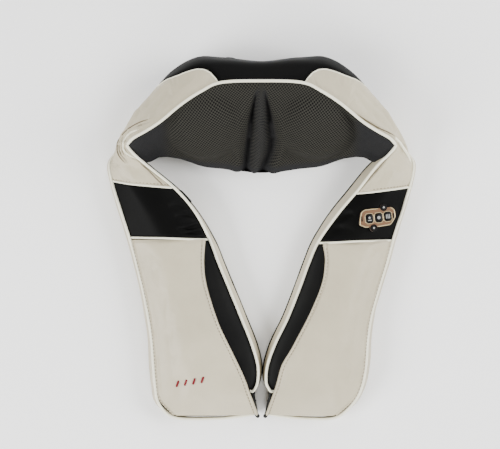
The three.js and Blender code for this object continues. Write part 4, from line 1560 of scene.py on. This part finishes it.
@dataclass
class ControlUnit:
    """The copper control plate on the right arm's band: rims, wells, slots, key caps and their simple marks.

    Attributes:
        rim: finish of the bright beads, the plating drawn paler as a painted highlight.
        key: finish of the key caps.
        gasket: finish of the slots and of the small keys' surrounds.
        legend: finish of the marks.
        place: where the plate's own frame lies.
        turn: its turn about the vertical, in degrees.
        tilt: how far it then leans outward, in degrees.
        top: height of the plate's face.
        outline: the plate's corners.
        main_keys: middles of the square keys.
        small_keys: middles of the round keys.
        key_clearance: how far the rim keeps from a round key's middle.
    """

    rim: bpy.types.Material
    key: bpy.types.Material
    gasket: bpy.types.Material
    legend: bpy.types.Material
    place: tuple[float, float, float] = (150.0, 28.0, 46.0)
    turn: float = 6.0
    tilt: float = 8.0
    top: float = 3.0
    outline: list = field(
        default_factory=lambda: [
            (-24, -7), (-17, -10.5), (-3, -11.5), (9, -11), (17, -10), (24, -1), (24, 8), (19, 12.5), (-15, 12.5),
            (-21, 9), (-24, -3),
        ]
    )
    main_keys: tuple = ((-10.5, 0.4), (1.8, 0.4), (14.0, 0.8))
    small_keys: tuple = ((9.8, 13.0), (-6.0, -12.2))
    key_clearance: float = 4.9

    @property
    def pose(self) -> Matrix:
        """The plate's own frame in millimetres."""
        turn = Matrix.Rotation(math.radians(self.turn), 4, "Z") @ Matrix.Rotation(math.radians(self.tilt), 4, "Y")
        return Matrix.Translation(self.place) @ turn

    def outline_points(self, corners: Points) -> Points:
        """A closed outline with slightly eased corners, six steps to a side.

        Args:
            corners: the outline.

        Returns:
            The closed line, its first point repeated at the end.
        """
        closed = np.concatenate([corners, corners[:1]])
        steps = np.linspace(0, len(corners), len(corners) * 6 + 1)
        straight = np.stack([np.interp(steps, np.arange(len(closed)), closed[:, k]) for k in range(2)], -1)
        return spline(closed, steps) * 0.35 + straight * 0.65

    def loop(
        self, name: str, corners: Points, radius: float, height: float, finish: bpy.types.Material
    ) -> bpy.types.Object:
        """A thin closed bead that follows an outline on the plate.

        Args:
            name: the bead's name.
            corners: the outline.
            radius: the bead's radius.
            height: height over the plate's own frame.
            finish: its material.

        Returns:
            The new object.
        """
        line = lifted(self.pose, self.outline_points(corners), height)
        return tube_piece(name, line, radius, finish, 8, 0)

    def block(
        self,
        name: str,
        corners: Points,
        low: float,
        high: float,
        bevel: float,
        finish: bpy.types.Material,
        body: str,
    ) -> bpy.types.Object:
        """A bevelled block in the plate's frame, on a body.

        Args:
            name: the block's name.
            corners: its outline.
            low: height of its foot.
            high: height of its top.
            bevel: radius of the top edge.
            finish: its material.
            body: the body it rides on.

        Returns:
            The new object.
        """
        piece = prism_piece(name, corners, low, high, bevel, finish, self.pose)
        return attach(piece, body)

    def plate(self) -> None:
        """The bright rim, well frames, end slots and the black surrounds of the small keys."""
        body = "arm_right"
        inset = np.array(self.outline, float) * [0.975, 0.955]
        rim = self.outline_points(inset)
        clear = np.min([np.hypot(*(rim - key).T) for key in self.small_keys], axis=0) > self.key_clearance
        start = int(np.argmax(~clear))
        rim, clear = np.roll(rim[:-1], -start, axis=0), np.roll(clear[:-1], -start)
        cuts = np.flatnonzero(np.diff(clear.astype(int))) + 1
        pieces = zip(np.split(rim, cuts), np.split(clear, cuts))
        runs = [run for run, open_run in pieces if open_run.all() and len(run) > 3]
        for k, run in enumerate(runs):
            piece = tube_piece(f"control_rim_{k + 1}", lifted(self.pose, run, self.top), 0.75, self.rim, 8, 1)
            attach(piece, body)
        for k, key in enumerate(self.main_keys):
            piece = self.loop(f"control_well_{k + 1}", octagon(11.0, 13.2, 2.6, key), 0.45, self.top, self.rim)
            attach(piece, body)
        for k, x in enumerate((-20.4, 21.6)):
            slot = octagon(1.7, 7.0, 0.5, (x, 1.0))
            self.block(f"control_slot_{k + 1}", slot, 2.5, self.top + 0.12, 0.05, self.gasket, body)
        for k, key in enumerate(self.small_keys):
            piece = self.loop(f"small_key_collar_{k + 1}", circle(3.9, key), 0.85, self.top, self.gasket)
            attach(piece, body)

    def keys(self) -> None:
        """Key caps and the marks printed on them."""
        for k, (x, y) in enumerate(self.main_keys):
            body = f"key_main_{k + 1}_body"
            outline = octagon(9.3, 11.3, 2.2, (x, y))
            cap = self.block(f"key_cap_{k + 1}", outline, -5.4, 4.1, 0.7, self.key, body)
            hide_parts(f"key_main_{k + 1}")
            marks = {
                0: [octagon(4.6, 1.1, 0.3, (x, y - 2.4)), octagon(3.0, 3.4, 1.3, (x, y + 1.0))],
                1: [circle(2.1, (x, y))],
                2: [octagon(1.1, 5.6, 0.4, (x + shift, y)) for shift in (-2.0, 0.0, 2.0)],
            }[k]
            for n, mark in enumerate(marks):
                self.block(f"key_mark_{k + 1}_{n + 1}", mark, 3.9, 4.2, 0.08, self.legend, body)
        for k, (x, y) in enumerate(self.small_keys):
            diamond, body = octagon(3.2, 3.2, 1.5, (x, y)), f"key_small_{k + 1}_body"
            self.block(f"small_key_mark_{k + 1}", diamond, 3.8, 4.15, 0.1, self.legend, body)

    def build(self) -> None:
        """Builds the unit's visible parts."""
        self.plate()
        self.keys()


@dataclass
class Studio:
    """Pale floor, soft lights and the camera straight above the massager."""

    height: float = 1.6
    camera_y: float = 0.0197
    lens: float = 86.0
    shift_x: float = -0.023

    def floor(self) -> None:
        """A wide pale floor with a very light surface texture."""
        material, tree, shader = blank("floor_paper_matt")
        place = add(tree, "TexCoord").outputs["Object"]
        fibre = add(tree, "TexNoise", {"Scale": 300.0}, {"Vector": place})
        tone = add(
            tree,
            "Mix",
            {"data_type": "RGBA", 6: linear("#fbfbfa"), 7: linear("#f6f6f5")},
            {0: fibre.outputs["Fac"]},
        )
        tree.links.new(tone.outputs[2], shader.inputs["Base Color"])
        shader.inputs["Roughness"].default_value = 0.9
        mesh = bpy.data.meshes.new("floor")
        reach = 6.0
        corners = [(-reach, -reach, 0), (reach, -reach, 0), (reach, reach, 0), (-reach, reach, 0)]
        mesh.from_pydata(corners, [], [(0, 1, 2, 3)])
        mesh.materials.append(material)
        floor = bpy.data.objects.new("floor", mesh)
        bpy.context.scene.collection.objects.link(floor)

    def lights(self) -> None:
        """Four large soft panels set round the massager, and a dim surround so that black leather stays black."""
        for name, place, size, power in (
            ("key_panel", (-1.9, -0.9, 1.35), 1.5, 118.0),
            ("fill_panel", (1.9, 0.2, 1.35), 1.6, 98.0),
            ("front_panel", (0.3, -2.2, 1.3), 1.4, 56.0),
            ("back_panel", (0.2, 2.2, 1.4), 1.4, 44.0),
        ):
            data = bpy.data.lights.new(name, "AREA")
            data.size = size
            data.energy = power
            lamp = bpy.data.objects.new(name, data)
            lamp.location = place
            lamp.rotation_euler = (Vector((0, 0, 0.05)) - Vector(place)).to_track_quat("-Z", "Y").to_euler()
            bpy.context.scene.collection.objects.link(lamp)
        world = bpy.data.worlds.new("studio")
        world.use_nodes = True
        back = world.node_tree.nodes["Background"]
        back.inputs["Color"].default_value = (1, 1, 1, 1)
        back.inputs["Strength"].default_value = 0.2
        bpy.context.scene.world = world

    def camera(self) -> None:
        """The camera looks straight down, with its top edge towards the neck pad."""
        data = bpy.data.cameras.new("camera")
        data.lens = self.lens
        data.sensor_width = 36.0
        data.shift_x = self.shift_x
        camera = bpy.data.objects.new("camera", data)
        camera.location = (0.0, self.camera_y, self.height)
        bpy.context.scene.collection.objects.link(camera)
        bpy.context.scene.camera = camera

    def build(self) -> None:
        """Builds the studio."""
        self.floor()
        self.lights()
        self.camera()


@dataclass
class InnerWorks:
    """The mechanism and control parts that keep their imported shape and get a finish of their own."""

    finishes: dict

    def build(self) -> None:
        """Gives every remaining CAD node the material of its record slot."""
        for part in frame["record"]["subparts"]:
            node = frame["nodes"][part["node"]]
            node.data.materials.clear()
            node.data.materials.append(self.finishes[part["material_slot"]])


# ---------------------------------------------------------------- fold lines, as seen from above

SHOULDER_FOLDS = {
    Side.LEFT: (
        Crease(
            ((136, 153), (153, 149), (169, 142), (180, 134), (184, 125), (184, 115), (180, 107), (172, 99)), 2.2, 1.6
        ),
        Crease(((145, 149), (160, 145), (172, 139), (179, 130), (181, 121), (179, 112), (173, 104)), 1.8, 1.3),
        Crease(
            (
                (150, 143), (165, 138), (174, 131), (177, 122), (175, 114), (168, 108), (158, 102), (145, 92),
                (132, 79), (122, 68),
            ),
            1.8,
            1.2,
        ),
        Crease(((180, 106), (170, 96), (158, 92), (146, 94)), 1.6, 6.0),
    ),
    Side.RIGHT: (
        Crease(((127, 149), (147, 140), (164, 133), (175, 127), (184, 118), (194, 107)), -2.4, 1.6),
        Crease(((118, 160), (134, 150), (150, 142), (164, 136), (174, 130)), 1.6, 1.3),
        Crease(((175, 121), (162, 104), (149, 89), (135, 73), (126, 63)), 1.8, 1.2),
        Crease(((192, 98), (184, 90), (172, 88)), 1.0, 6.0),
    ),
}
# Lines along the folds: pale ridges; cream piping cords whose light colour paints the highlight on a fold's ridge; thin
# dark cords that paint the shade in its crease.
RIDGES_AND_PAINTED_LIGHT = {
    Side.LEFT: (
        (
            ((140, 152.5), (155, 149), (170, 142), (180, 134), (185, 125), (185, 115), (181, 107), (174, 100)),
            1.5,
            Bead.PALE,
        ),
        (((150, 148), (163, 144), (174, 137), (180.5, 129), (182, 120), (180, 112), (175, 106)), 1.3, Bead.PALE),
        (((155, 141.5), (167, 138), (175, 131), (178, 122), (176, 114), (169, 108.5), (160, 103.5)), 1.5, Bead.PIPING),
        (
            ((138, 155), (154, 151.5), (170, 144.5), (181, 136), (187, 126), (187, 114), (183, 106), (176, 98.5)),
            0.75,
            Bead.SEAM,
        ),
        (((158, 99), (147, 90), (134, 76.5), (126, 69)), 0.75, Bead.SEAM),
    ),
    Side.RIGHT: (
        (((160, 135), (170, 131), (178, 125), (186, 116), (193, 107), (198, 99)), 1.7, Bead.PIPING),
        (((122, 159), (136, 150), (150, 142.5), (163, 137.5), (172, 133)), 0.75, Bead.SEAM),
        (((172, 119), (160, 103), (147, 87.5), (136, 74.5), (130, 67)), 0.75, Bead.SEAM),
    ),
}
BAND_FOLDS = {
    Side.LEFT: (
        Crease(((78, 10), (90, 8), (106, 10)), 1.8, 1.8),
        Crease(((80, 19), (94, 15), (110, 14)), 2.0, 2.0),
        Crease(((86, 30), (98, 33), (112, 31)), 1.6, 2.6),
        Crease(((96, 42), (108, 46), (120, 44)), 1.0, 3.0),
    ),
    Side.RIGHT: (
        Crease(((98, 26), (108, 32), (120, 34)), 1.4, 4.0),
        Crease(((92, 12), (104, 14), (120, 12)), 0.8, 4.0),
    ),
}


def main() -> None:
    """Builds the massager piece by piece."""
    logging.basicConfig(level=logging.INFO, format="%(message)s")
    Studio().build()
    log.info("studio ready")
    made = {
        "black_leather": BLACK_LEATHER,
        "pale_leather": PALE_LEATHER,
        "piping": PIPING,
        "spacer_mesh": SPACER_MESH,
        "lining": LINING_LEATHER,
        "frame_plastic": CASE_PLASTIC,
        "node_plastic": NODE_PLASTIC,
        "steel": STEEL,
        "nylon": NYLON,
        "bronze": BRONZE,
        "circuit_board": BOARD,
        "lamp": LAMP,
        "copper_trim": COPPER_TRIM,
        "keys": KEY_BLACK,
    }
    finishes = {slot: finish.material() for slot, finish in made.items()}
    # The tan thread finish also makes the dark cords that paint shade in the folds.
    thread, webbing = THREAD_AND_CREASE_SHADE.material(), WEBBING.material()
    InnerWorks(finishes).build()
    NeckPad(
        CollarForm(),
        finishes["black_leather"],
        finishes["spacer_mesh"],
        finishes["piping"],
        finishes["frame_plastic"],
        finishes["steel"],
    ).build()
    log.info("neck pad ready")
    emblem = RED_THREAD.material()
    ControlUnit(COPPER_RIM_PAINTED_HIGHLIGHT.material(), finishes["keys"], GASKET.material(), LEGEND.material()).build()
    log.info("control unit ready")
    for side in Side:
        Arm(
            CollarForm(side),
            side,
            finishes["pale_leather"],
            finishes["black_leather"],
            finishes["lining"],
            finishes["piping"],
            thread,
            webbing,
            emblem,
            SHOULDER_FOLDS[side],
            BAND_FOLDS[side],
            RIDGES_AND_PAINTED_LIGHT[side],
        ).build()
        log.info("%s arm ready", side.word)


if __name__ == "__main__":
    main()
